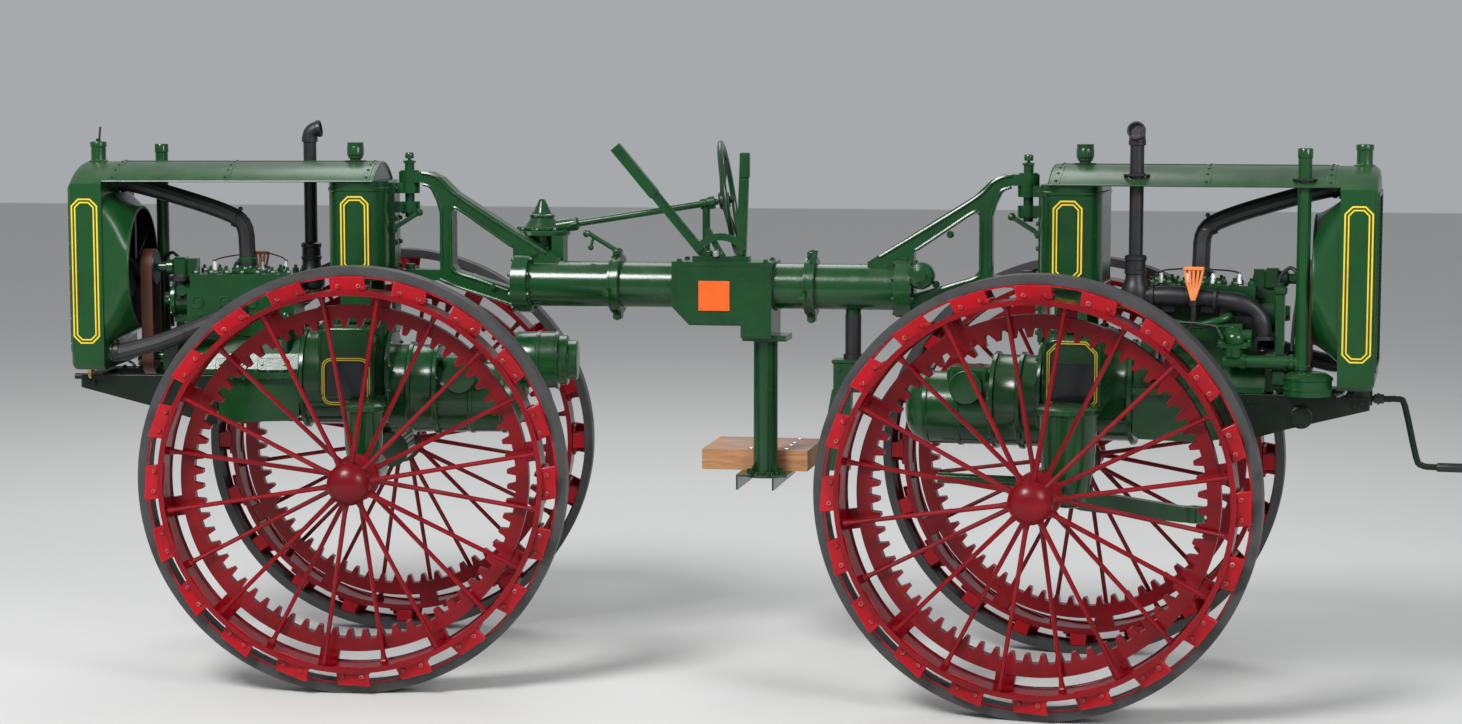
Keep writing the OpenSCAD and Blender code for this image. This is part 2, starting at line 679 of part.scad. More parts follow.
module steering_column() {
    at_column() {
        translate([0, 0, -column_l + 112 + fit]) cylinder(d = 24, h = column_l - 112 - fit + hub_low - 4);
        translate([0, 0, hub_low - 20]) cylinder(d = 14, h = 34 - hub_low);
        translate([0, 0, -100]) cylinder(d = 38, h = 40);
    }
    rod([bracket_at[0], bracket_at[1], 1300], [bracket_at[0], bracket_at[1], 1549], 26);
    block([bracket_at[0] - 15, tube_d / 2 + 15 + fit, 1300], [bracket_at[0] + 15, bracket_at[1], 1340]);
}

module steering_wheel() {
    rim = 9;
    at_column() {
        rotate_extrude($fn = 64) translate([hand_r - rim, 0]) circle(rim);
        difference() {
            translate([0, 0, hub_low]) cylinder(r = 26, h = 36);
            translate([0, 0, hub_low - 1]) cylinder(d = 14 + 2 * run, h = 40);
        }
        for (i = [0:3]) rotate([0, 0, i * 90 + 45]) rod([20, 0, hub_low + 14], [hand_r - rim, 0, 0], 13);
    }
}

module hand_levers() {
    foot_z = saddle_top + fit;
    long_tip = [-322, 0, 1741];
    long_foot = [-20, 0, foot_z + 16];
    translate([0, -20, 0]) {
        block([-60, -20, foot_z], [130, 20, foot_z + 16]);
        strap(long_foot, long_tip, 14, 30);
        strap(long_foot + 0.56 * (long_tip - long_foot), long_tip, 26, 36);
        strap([101, 0, foot_z + 17], [113, 0, 1722], 14, 32);
        strap([38, 0, foot_z + 12], [-14, 0, 1474], 12, 20);
    }
}

module marker_plate() {
    y = -(tube_d + 30) / 2;
    block([-28, y - 4 - fit, 1209], [75, y - fit, 1306]);
}

at_centre() color(leaf) centre_tube();
at_centre() color(leaf) saddle();
at_centre() color(leaf) gooseneck(-1);  // left_gooseneck
at_centre() color(leaf) gooseneck(1);  // right_gooseneck
at_centre() color(leaf) tube_clamps();
at_centre() color(leaf) platform_post();
at_centre() color("burlywood") platform();
at_centre() color(leaf) steering_gear();
at_centre() color(leaf) steering_column();
at_centre() color(leaf) hand_levers();
at_centre() color("orangered") marker_plate();
at_centre() color(leaf) steering_wheel();
at_centre() color(leaf) foot_lever();

at_left() color(dark_leaf) chassis();  // left_chassis
at_left() color(leaf) engine();  // left_engine
at_left() color(leaf) transmission(true);  // left_transmission
at_left() color(leaf) radiator();  // left_radiator
at_left() color(leaf) hood();  // left_hood
at_left() color(leaf) fuel_tank();  // left_fuel_tank
at_left() color(soot) exhaust();  // left_exhaust
at_left() color(leaf) intake();  // left_intake
at_left() color(soot) hoses();  // left_hoses
at_left() color(soot) fan();  // left_fan
at_left() color("saddlebrown") fan_belt();  // left_fan_belt
at_left() color(soot) fan_ring();  // left_fan_ring
at_left() color(leaf) hitch();  // left_hitch
at_left() color(dark_leaf) starting_crank(false);  // left_starting_crank

at_right() color(dark_leaf) chassis();  // right_chassis
at_right() color(leaf) engine();  // right_engine
at_right() color(leaf) transmission(false);  // right_transmission
at_right() color(leaf) radiator();  // right_radiator
at_right() color(leaf) hood();  // right_hood
at_right() color(leaf) fuel_tank();  // right_fuel_tank
at_right() color(soot) exhaust();  // right_exhaust
at_right() color(leaf) intake();  // right_intake
at_right() color(soot) hoses();  // right_hoses
at_right() color(soot) fan();  // right_fan
at_right() color("saddlebrown") fan_belt();  // right_fan_belt
at_right() color(soot) fan_ring();  // right_fan_ring
at_right() color(leaf) hitch();  // right_hitch
at_right() color(dark_leaf) starting_crank(true);  // right_starting_crank
at_right() color(dark_leaf) drawbar();  // right_drawbar

at_left() color(wheel_red) wheel_place(1) wheel();  // left_near_wheel
at_left() color(soot) wheel_place(1) road_band();  // left_near_road_band
at_left() color(wheel_red) wheel_place(-1) wheel();  // left_far_wheel
at_left() color(soot) wheel_place(-1) road_band();  // left_far_road_band
at_right() color(wheel_red) wheel_place(-1) wheel();  // right_near_wheel
at_right() color(soot) wheel_place(-1) road_band();  // right_near_road_band
at_right() color(wheel_red) wheel_place(1) wheel();  // right_far_wheel
at_right() color(soot) wheel_place(1) road_band();  // right_far_road_band
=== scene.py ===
"""Looks of the tandem farm tractor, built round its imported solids.

Every new piece is a surface worked out with numpy as whole arrays: a grid over two parameters, or a section
carried along a path. Places on a power unit are given in the unit's own frame, in metres: x forward to its
radiator, y to its left, z up, with the origin on the ground below its axle.
"""
import math

import bmesh
import bpy
import numpy as np
from mathutils import Euler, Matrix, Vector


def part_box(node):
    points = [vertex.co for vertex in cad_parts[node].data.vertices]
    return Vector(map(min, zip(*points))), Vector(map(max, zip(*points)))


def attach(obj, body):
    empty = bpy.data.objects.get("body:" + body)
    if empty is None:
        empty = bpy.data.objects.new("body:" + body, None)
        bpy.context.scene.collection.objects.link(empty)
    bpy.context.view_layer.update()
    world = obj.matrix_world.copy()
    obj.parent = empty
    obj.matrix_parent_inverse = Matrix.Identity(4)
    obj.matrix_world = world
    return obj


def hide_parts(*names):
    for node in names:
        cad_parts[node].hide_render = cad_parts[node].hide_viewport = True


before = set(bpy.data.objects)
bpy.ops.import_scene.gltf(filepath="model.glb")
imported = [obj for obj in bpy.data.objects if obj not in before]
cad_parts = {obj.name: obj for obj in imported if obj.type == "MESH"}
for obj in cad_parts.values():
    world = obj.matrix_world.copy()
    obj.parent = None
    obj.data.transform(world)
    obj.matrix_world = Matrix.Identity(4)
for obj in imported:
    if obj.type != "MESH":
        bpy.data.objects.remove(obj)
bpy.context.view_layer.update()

UNITS = ("left", "right")
NEAR_SIDE = {"left": 1, "right": -1}        # the sign of y on a unit's side that faces the camera
UP = np.array([0.0, 0.0, 1.0])


# Places


def middle(node):
    """Centre of a node's box."""
    low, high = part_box(node)
    return (np.array(low) + np.array(high)) / 2


def unit_axes(unit):
    """Origin and the three axes of a power unit: its road bands' centres give the left axis, and forward is
    left x up."""
    near, far = middle(f"{unit}_near_road_band"), middle(f"{unit}_far_road_band")
    left = (near - far) * NEAR_SIDE[unit] * [1, 1, 0]
    left = left / np.linalg.norm(left)
    origin = (near + far) / 2 * [1, 1, 0]
    return origin, np.array([np.cross(left, UP), left, UP])


AXES = {unit: unit_axes(unit) for unit in UNITS}
TUBE = middle("centre_tube")
AXES["centre"] = (TUBE * [1, 1, 0], np.eye(3))


def placed(points, where):
    """Points of a power unit or of the centre frame, in the whole object's frame."""
    origin, axes = AXES[where]
    return np.asarray(points) @ axes + origin


# Surfaces: each is a pair of its points (n, 3) and its faces, a list of arrays with one face to a row


def grid(points, wrap_u=False, wrap_v=False):
    """Skin over a grid of points (u, v, 3): one quad between each four neighbours."""
    rows, columns = points.shape[:2]
    u = np.arange(rows if wrap_u else rows - 1)[:, None]
    v = np.arange(columns if wrap_v else columns - 1)[None, :]
    u2, v2 = (u + 1) % rows, (v + 1) % columns
    quads = np.stack([u * columns + v, u2 * columns + v, u2 * columns + v2, u * columns + v2], axis=-1)
    return points.reshape(-1, 3), [quads.reshape(-1, 4)]


def capped(points):
    """Skin over a grid whose columns close round, with one face over the first row and one over the
    last."""
    rows, columns = points.shape[:2]
    flat, faces = grid(points, wrap_v=True)
    ends = np.stack([np.arange(columns)[::-1], (rows - 1) * columns + np.arange(columns)])
    return flat, faces + [ends]


def joined(forms):
    """Several surfaces as one."""
    points, faces, start = [], [], 0
    for form_points, form_faces in forms:
        points.append(form_points)
        faces += [block + start for block in form_faces]
        start += len(form_points)
    return np.concatenate(points), faces


def copies(form, turns, shifts):
    """A form repeated by rotation matrices (k, 3, 3) and shifts (k, 3), all at once."""
    points, faces = form
    many = np.einsum("kij,nj->kni", turns, points) + np.asarray(shifts)[:, None, :]
    steps = np.arange(len(many))[:, None, None] * len(points)
    return many.reshape(-1, 3), [(block[None] + steps).reshape(-1, block.shape[1]) for block in faces]


def moved(form, mapping):
    """A form whose points are changed all at once by a function."""
    return mapping(form[0]), form[1]


def basis(along):
    """Two unit vectors square to each direction in an array (n, 3), and the direction itself, made unit."""
    along = np.atleast_2d(np.asarray(along, float))
    along = along / np.linalg.norm(along, axis=1, keepdims=True)
    helper = np.where(np.abs(along[:, 2:3]) < 0.9, UP, np.array([1.0, 0.0, 0.0]))
    across = np.cross(helper, along)
    across = across / np.linalg.norm(across, axis=1, keepdims=True)
    return across, np.cross(along, across), along


def turned_rows(profile, start, along, segments):
    """Profile of (radius, distance) pairs turned about the line from start in the direction along:
    point = start + distance * along + radius * (cos a * e1 + sin a * e2)."""
    profile = np.asarray(profile, float)
    e1, e2, axis = (e[0] for e in basis(along))
    turn = np.linspace(0, 2 * np.pi, segments, endpoint=False)
    circle = np.cos(turn)[:, None] * e1 + np.sin(turn)[:, None] * e2
    return np.asarray(start, float) + profile[:, 1, None, None] * axis + profile[:, 0, None, None] * circle


def lathe(profile, start=(0, 0, 0), along=(0, 0, 1), segments=32):
    """Open profile turned about a line, and closed at both ends."""
    return capped(turned_rows(profile, start, along, segments))


def hoop(section, start, along, segments=96):
    """Closed section turned about a line into a ring."""
    return grid(turned_rows(section, start, along, segments), wrap_u=True, wrap_v=True)


def smooth_path(knots, steps=6):
    """Points of a curve through the knots: on each stretch the cubic whose end slopes are half the
    difference between the neighbouring knots."""
    knots = np.asarray(knots, float)
    a = np.concatenate([knots[:1], knots[:-2]])
    b, c = knots[:-1], knots[1:]
    d = np.concatenate([knots[2:], knots[-1:]])
    t = np.linspace(0, 1, steps, endpoint=False)[None, :, None]
    a, b, c, d = (k[:, None, :] for k in (a, b, c, d))
    curve = b + 0.5 * ((c - a) * t + (2 * a - 5 * b + 4 * c - d) * t ** 2 + (3 * b - a - 3 * c + d) * t ** 3)
    return np.concatenate([curve.reshape(-1, 3), knots[-1:]])


def pipe(path, radius, sides=12, flat=1.0, side=None):
    """Round section carried along a path. The section's axes at each point are square to the path there;
    flat squeezes the second axis, and radius may be one number or one for each point."""
    path = np.asarray(path, float)
    along = np.gradient(path, axis=0)
    along = along / np.linalg.norm(along, axis=1, keepdims=True)
    if side is None:
        spread = np.abs(along).mean(axis=0)
        side = np.eye(3)[int(np.argmin(spread))]
    e1 = np.cross(along, side)
    e1 = e1 / np.linalg.norm(e1, axis=1, keepdims=True)
    e2 = np.cross(along, e1)
    turn = np.linspace(0, 2 * np.pi, sides, endpoint=False)[None, :, None]
    size = np.broadcast_to(np.asarray(radius, float), (len(path),))[:, None, None]
    return capped(path[:, None] + size * (np.cos(turn) * e1[:, None] + flat * np.sin(turn) * e2[:, None]))


def inset(outline, amount):
    """A closed outline (n, 2), drawn anticlockwise, moved inwards by amount along the bisector of each
    corner."""
    before = outline - np.roll(outline, 1, axis=0)
    after = np.roll(outline, -1, axis=0) - outline
    before = before / np.linalg.norm(before, axis=1, keepdims=True)
    after = after / np.linalg.norm(after, axis=1, keepdims=True)
    n1 = np.stack([-before[:, 1], before[:, 0]], axis=1)
    n2 = np.stack([-after[:, 1], after[:, 0]], axis=1)
    return outline + amount * (n1 + n2) / (1 + (n1 * n2).sum(axis=1, keepdims=True))


def rounded(corners, cut, steps=5):
    """A closed outline with each corner replaced by a curve from cut before it to cut after it:
    the parabola whose control point is the corner."""
    corners = np.asarray(corners, float)
    area = np.cross(corners, np.roll(corners, -1, axis=0)).sum()
    corners = corners if area > 0 else corners[::-1]
    back = np.roll(corners, 1, axis=0) - corners
    ahead = np.roll(corners, -1, axis=0) - corners
    cuts = np.broadcast_to(np.asarray(cut, float), (len(corners),))[:, None]
    p = corners + cuts * back / np.linalg.norm(back, axis=1, keepdims=True)
    q = corners + cuts * ahead / np.linalg.norm(ahead, axis=1, keepdims=True)
    t = np.linspace(0, 1, steps)[None, :, None]
    curve = (1 - t) ** 2 * p[:, None] + 2 * t * (1 - t) * corners[:, None] + t ** 2 * q[:, None]
    return curve.reshape(-1, 2)


def rectangle(width, height, cut, steps=5):
    """Rectangle about the origin, its corners rounded from cut before to cut after."""
    w, h = width / 2, height / 2
    return rounded([[-w, -h], [w, -h], [w, h], [-w, h]], cut, steps)


def slab(outline, low, high, edge=0.0):
    """Outline carried from height low to high, drawn in by edge at both ends: (x, y) from the outline and
    z from the height."""
    if edge > 0:
        stations = [(low, edge), (low + edge, 0), (high - edge, 0), (high, edge)]
    else:
        stations = [(low, 0), (high, 0)]
    rows = [np.column_stack([inset(outline, draw) if draw else outline, np.full(len(outline), height)])
            for height, draw in stations]
    return capped(np.array(rows))


def line_round(outline, width, lift):
    """Painted line that follows a closed outline: a flat strip as wide as width, and lift thick."""
    inner = inset(outline, width)
    zero, top = np.zeros(len(outline)), np.full(len(outline), lift)
    section = [np.column_stack([outline, zero]), np.column_stack([outline, top]),
               np.column_stack([inner, top]), np.column_stack([inner, zero])]
    return grid(np.array(section), wrap_u=True, wrap_v=True)


def on_plane(form, origin, e1, e2):
    """A form drawn in (a, b, c), set at origin with a along e1, b along e2 and c along e1 x e2."""
    e1, e2 = np.asarray(e1, float), np.asarray(e2, float)
    axes = np.array([e1, e2, np.cross(e1, e2)])
    return form[0] @ axes + np.asarray(origin, float), form[1]


def block(low, high, edge=0.002):
    """Box between two corners, with its edges drawn in."""
    low, high = np.asarray(low, float), np.asarray(high, float)
    size = high - low
    edge = min(edge, size.min() * 0.45)
    plan = rectangle(size[0], size[1], edge, 2)
    points, faces = slab(plan, 0, size[2], edge)
    return points + [(low[0] + high[0]) / 2, (low[1] + high[1]) / 2, low[2]], faces


def bolts(centres, along, across=0.016, tall=0.008, washer=True):
    """Six-sided heads at the centres, each on its washer and pointing along."""
    centres = np.atleast_2d(np.asarray(centres, float))
    r = across / 2
    head = lathe([(r, 0), (r, tall * 0.8), (r * 0.82, tall), (0.001, tall)], along=along, segments=6)
    forms = [head]
    if washer:
        forms.append(lathe([(r * 1.35, -0.0005), (r * 1.35, tall * 0.2), (0.001, tall * 0.2)], along=along,
                           segments=16))
    turns = np.broadcast_to(np.eye(3), (len(centres), 3, 3))
    return copies(joined(forms), turns, centres)


def piece(name, forms, finish, body, where=None, smooth=32, weld=1e-5):
    """One object from surfaces: doubles merged, normals made to point out, smooth up to an angle in
    degrees."""
    points, faces = joined(forms)
    if where is not None:
        points = placed(points, where)
    mesh = bpy.data.meshes.new(name)
    mesh.from_pydata(points.tolist(), [], [row for block_ in faces for row in block_.tolist()])
    work = bmesh.new()
    work.from_mesh(mesh)
    bmesh.ops.remove_doubles(work, verts=work.verts, dist=weld)
    bmesh.ops.recalc_face_normals(work, faces=work.faces)
    work.to_mesh(mesh)
    work.free()
    mesh.shade_smooth()
    mesh.set_sharp_from_angle(angle=math.radians(smooth))
    obj = bpy.data.objects.new(name, mesh)
    bpy.context.scene.collection.objects.link(obj)
    obj.data.materials.append(finish)
    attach(obj, body)
    return obj


# Finishes


def new_group(name, inputs, outputs):
    """Empty shader group with named inputs (name, kind, default) and outputs (name, kind)."""
    group = bpy.data.node_groups.new(name, "ShaderNodeTree")
    for label, kind, default in inputs:
        socket = group.interface.new_socket(label, in_out="INPUT", socket_type=kind)
        if default is not None:
            socket.default_value = default
    for label, kind in outputs:
        group.interface.new_socket(label, in_out="OUTPUT", socket_type=kind)
    return group, group.nodes.new("NodeGroupInput"), group.nodes.new("NodeGroupOutput")


def feed(tree, socket, value):
    """Links a socket to another one, or gives it a plain value."""
    if isinstance(value, bpy.types.NodeSocket):
        tree.links.new(value, socket)
    else:
        socket.default_value = value


def node(tree, kind, links=None, **settings):
    """Adds a node; links maps an input's name or number to a socket or to a plain value."""
    made = tree.nodes.new(kind)
    for key, value in settings.items():
        setattr(made, key, value)
    for key, value in (links or {}).items():
        feed(tree, made.inputs[key], value)
    return made


def patches_group():
    """Soft patches: two octaves of noise pushed through a threshold."""
    group, come, go = new_group("patches", [("Vector", "NodeSocketVector", None),
                                            ("Scale", "NodeSocketFloat", 5.0),
                                            ("Cover", "NodeSocketFloat", 0.5),
                                            ("Softness", "NodeSocketFloat", 0.1)],
                                [("Mask", "NodeSocketFloat")])
    noise = node(group, "ShaderNodeTexNoise",
                 {"Vector": come.outputs["Vector"], "Scale": come.outputs["Scale"],
                  "Detail": 5.0, "Roughness": 0.6})
    low = node(group, "ShaderNodeMath", {0: 1.0, 1: come.outputs["Cover"]}, operation="SUBTRACT")
    high = node(group, "ShaderNodeMath", {0: low.outputs[0], 1: come.outputs["Softness"]}, operation="ADD")
    mask = node(group, "ShaderNodeMapRange", {0: noise.outputs[0], 1: low.outputs[0], 2: high.outputs[0]},
                interpolation_type="SMOOTHSTEP")
    group.links.new(mask.outputs[0], go.inputs["Mask"])
    return group


def worn_and_highlit_edges_group():
    """Edges made lighter, partly rubbed wear and partly painted highlight: how far the rounded normal leans
    from the true one, broken up by noise.
    """
    group, come, go = new_group("worn_and_highlit_edges",
                                [("Vector", "NodeSocketVector", None), ("Reach", "NodeSocketFloat", 0.004),
                                 ("Amount", "NodeSocketFloat", 0.5)], [("Mask", "NodeSocketFloat")])
    bevel = node(group, "ShaderNodeBevel", {"Radius": come.outputs["Reach"]}, samples=4)
    true = node(group, "ShaderNodeNewGeometry")
    lean = node(group, "ShaderNodeVectorMath", {0: bevel.outputs[0], 1: true.outputs["Normal"]},
                operation="DOT_PRODUCT")
    edge = node(group, "ShaderNodeMapRange", {0: lean.outputs["Value"], 1: 0.995, 2: 0.86})
    noise = node(group, "ShaderNodeTexNoise",
                 {"Vector": come.outputs["Vector"], "Scale": 42.0, "Detail": 4.0})
    broken = node(group, "ShaderNodeMapRange", {0: noise.outputs[0], 1: 0.44, 2: 0.6})
    both = node(group, "ShaderNodeMath", {0: edge.outputs[0], 1: broken.outputs[0]}, operation="MULTIPLY")
    out = node(group, "ShaderNodeMath", {0: both.outputs[0], 1: come.outputs["Amount"]},
               operation="MULTIPLY")
    group.links.new(out.outputs[0], go.inputs["Mask"])
    return group


def settled_dust_group():
    """Dust that lies on what faces up: the normal's height, times patchy noise."""
    group, come, go = new_group("settled_dust", [("Vector", "NodeSocketVector", None),
                                                 ("Amount", "NodeSocketFloat", 0.4)],
                                [("Mask", "NodeSocketFloat")])
    true = node(group, "ShaderNodeNewGeometry")
    split = node(group, "ShaderNodeSeparateXYZ", {0: true.outputs["Normal"]})
    up = node(group, "ShaderNodeMapRange", {0: split.outputs["Z"], 1: 0.25, 2: 1.0})
    noise = node(group, "ShaderNodeTexNoise",
                 {"Vector": come.outputs["Vector"], "Scale": 9.0, "Detail": 8.0, "Roughness": 0.65})
    patchy = node(group, "ShaderNodeMapRange", {0: noise.outputs[0], 1: 0.38, 2: 0.66})
    both = node(group, "ShaderNodeMath", {0: up.outputs[0], 1: patchy.outputs[0]}, operation="MULTIPLY")
    out = node(group, "ShaderNodeMath", {0: both.outputs[0], 1: come.outputs["Amount"]},
               operation="MULTIPLY")
    group.links.new(out.outputs[0], go.inputs["Mask"])
    return group


def cast_grain_group():
    """Surface relief: sand-cast pits and a longer waviness, as one normal."""
    group, come, go = new_group("cast_grain",
                                [("Vector", "NodeSocketVector", None), ("Scale", "NodeSocketFloat", 180.0),
                                 ("Depth", "NodeSocketFloat", 0.2)], [("Normal", "NodeSocketVector")])
    fine = node(group, "ShaderNodeTexNoise",
                {"Vector": come.outputs["Vector"], "Scale": come.outputs["Scale"],
                 "Detail": 3.0, "Roughness": 0.6})
    long = node(group, "ShaderNodeTexNoise",
                {"Vector": come.outputs["Vector"], "Scale": 14.0, "Detail": 2.0})
    lift = node(group, "ShaderNodeMath", {0: long.outputs[0], 1: 2.0, 2: fine.outputs[0]},
                operation="MULTIPLY_ADD")
    bump = node(group, "ShaderNodeBump", {"Height": lift.outputs[0], "Strength": come.outputs["Depth"],
                                          "Distance": 0.002})
    group.links.new(bump.outputs[0], go.inputs["Normal"])
    return group


GROUPS = {"patches": patches_group(), "worn_and_highlit_edges": worn_and_highlit_edges_group(),
          "settled_dust": settled_dust_group(), "cast_grain": cast_grain_group()}


def effect(tree, name, links):
    """Places one of the shared effects in a material and gives its mask or normal."""
    made = tree.nodes.new("ShaderNodeGroup")
    made.node_tree = GROUPS[name]
    for key, value in links.items():
        feed(tree, made.inputs[key], value)
    return made.outputs[0]


def mixed(tree, mask, first, second):
    """Colour mix: first where the mask is 0, second where it is 1."""
    mix = tree.nodes.new("ShaderNodeMix")
    mix.data_type = "RGBA"
    tree.links.new(mask, mix.inputs[0])
    for slot_number, value in ((6, first), (7, second)):
        feed(tree, mix.inputs[slot_number], (*value, 1.0) if isinstance(value, tuple) else value)
    return mix.outputs[2]


def between(tree, mask, low, high):
    """Number that runs from low to high as the mask runs from 0 to 1."""
    return node(tree, "ShaderNodeMapRange", {0: mask, 3: low, 4: high}).outputs[0]


def start_finish(name):
    """New material with its shader and the object's own coordinates."""
    material = bpy.data.materials.new(name)
    material.use_nodes = True
    tree = material.node_tree
    shader = tree.nodes["Principled BSDF"]
    where = tree.nodes.new("ShaderNodeTexCoord").outputs["Object"]
    return material, tree, shader, where


def paint(name, colour, shade, bare_and_highlit, rough=(0.32, 0.55), gloss=0.35, wear=0.6, dust=0.35,
          dust_colour=(0.30, 0.27, 0.21), grain=160.0, depth=0.15, shine=0.36):
    """Brushed enamel over iron: two shades in soft patches, a lighter colour on the edges that is partly
    rubbed wear and partly painted highlight, dust on top faces."""
    material, tree, shader, where = start_finish(name)
    clouds = effect(tree, "patches", {"Vector": where, "Scale": 3.5, "Cover": 0.56, "Softness": 0.22})
    base = mixed(tree, clouds, colour, shade)
    # lighter edges: partly rubbed wear and partly painted highlight; wear sets how much of it shows
    edges = effect(tree, "worn_and_highlit_edges", {"Vector": where, "Reach": 0.004, "Amount": wear})
    base = mixed(tree, edges, base, bare_and_highlit)
    dusty = effect(tree, "settled_dust", {"Vector": where, "Amount": dust})
    base = mixed(tree, dusty, base, dust_colour)
    tree.links.new(base, shader.inputs["Base Color"])
    smears = effect(tree, "patches", {"Vector": where, "Scale": 17.0, "Cover": 0.5, "Softness": 0.3})
    rough_now = between(tree, smears, *rough)
    rougher = node(tree, "ShaderNodeMath", {0: dusty, 1: 0.4, 2: rough_now}, operation="MULTIPLY_ADD")
    tree.links.new(rougher.outputs[0], shader.inputs["Roughness"])
    relief = effect(tree, "cast_grain", {"Vector": where, "Scale": grain, "Depth": depth})
    tree.links.new(relief, shader.inputs["Normal"])
    shader.inputs["Specular IOR Level"].default_value = shine
    shader.inputs["Coat Weight"].default_value = gloss
    shader.inputs["Coat Roughness"].default_value = 0.18
    return material


def metal(name, colour, stain, rough=(0.3, 0.6), metallic=1.0, grain=120.0, depth=0.2, cover=0.45, wear=0.0,
          bare_and_highlit=(0.5, 0.5, 0.5)):
    """Bare or blackened metal, stained in patches."""
    material, tree, shader, where = start_finish(name)
    rust = effect(tree, "patches", {"Vector": where, "Scale": 11.0, "Cover": cover, "Softness": 0.25})
    base = mixed(tree, rust, colour, stain)
    if wear:
        # lighter edges: partly worn metal and partly painted highlight
        edges = effect(tree, "worn_and_highlit_edges", {"Vector": where, "Reach": 0.003, "Amount": wear})
        base = mixed(tree, edges, base, bare_and_highlit)
    tree.links.new(base, shader.inputs["Base Color"])
    tree.links.new(between(tree, rust, *rough), shader.inputs["Roughness"])
    relief = effect(tree, "cast_grain", {"Vector": where, "Scale": grain, "Depth": depth})
    tree.links.new(relief, shader.inputs["Normal"])
    shader.inputs["Metallic"].default_value = metallic
    return material


def soft_stuff(name, colour, shade, rough=(0.5, 0.8), grain=300.0, depth=0.25, coat=0.0):
    """Rubber, leather or cloth covering: mottled, dusty and matt."""
    material, tree, shader, where = start_finish(name)
    clouds = effect(tree, "patches", {"Vector": where, "Scale": 24.0, "Cover": 0.5, "Softness": 0.3})
    tree.links.new(mixed(tree, clouds, colour, shade), shader.inputs["Base Color"])
    tree.links.new(between(tree, clouds, *rough), shader.inputs["Roughness"])
    relief = effect(tree, "cast_grain", {"Vector": where, "Scale": grain, "Depth": depth})
    tree.links.new(relief, shader.inputs["Normal"])
    shader.inputs["Coat Weight"].default_value = coat
    return material


def timber(name, pale, brown, dark, grey):
    """Oak boards: rings stretched along the board, with pores and dirt between, grey where they face the
    sky."""
    material, tree, shader, where = start_finish(name)
    long_way = node(tree, "ShaderNodeMapping", {"Vector": where, "Scale": (3.0, 26.0, 26.0)})
    rings = node(tree, "ShaderNodeTexNoise", {"Vector": long_way.outputs[0], "Scale": 3.0, "Detail": 6.0,
                                              "Distortion": 0.6})
    bands = node(tree, "ShaderNodeMapRange", {0: rings.outputs[0], 1: 0.35, 2: 0.65})
    base = mixed(tree, bands.outputs[0], pale, brown)
    dirt = effect(tree, "patches", {"Vector": where, "Scale": 7.0, "Cover": 0.42, "Softness": 0.2})
    base = mixed(tree, dirt, base, dark)
    weathered = effect(tree, "settled_dust", {"Vector": where, "Amount": 0.9})
    base = mixed(tree, weathered, base, grey)
    tree.links.new(base, shader.inputs["Base Color"])
    tree.links.new(between(tree, bands.outputs[0], 0.55, 0.8), shader.inputs["Roughness"])
    bump = node(tree, "ShaderNodeBump", {"Height": rings.outputs[0], "Strength": 0.5, "Distance": 0.003})
    tree.links.new(bump.outputs[0], shader.inputs["Normal"])
    return material


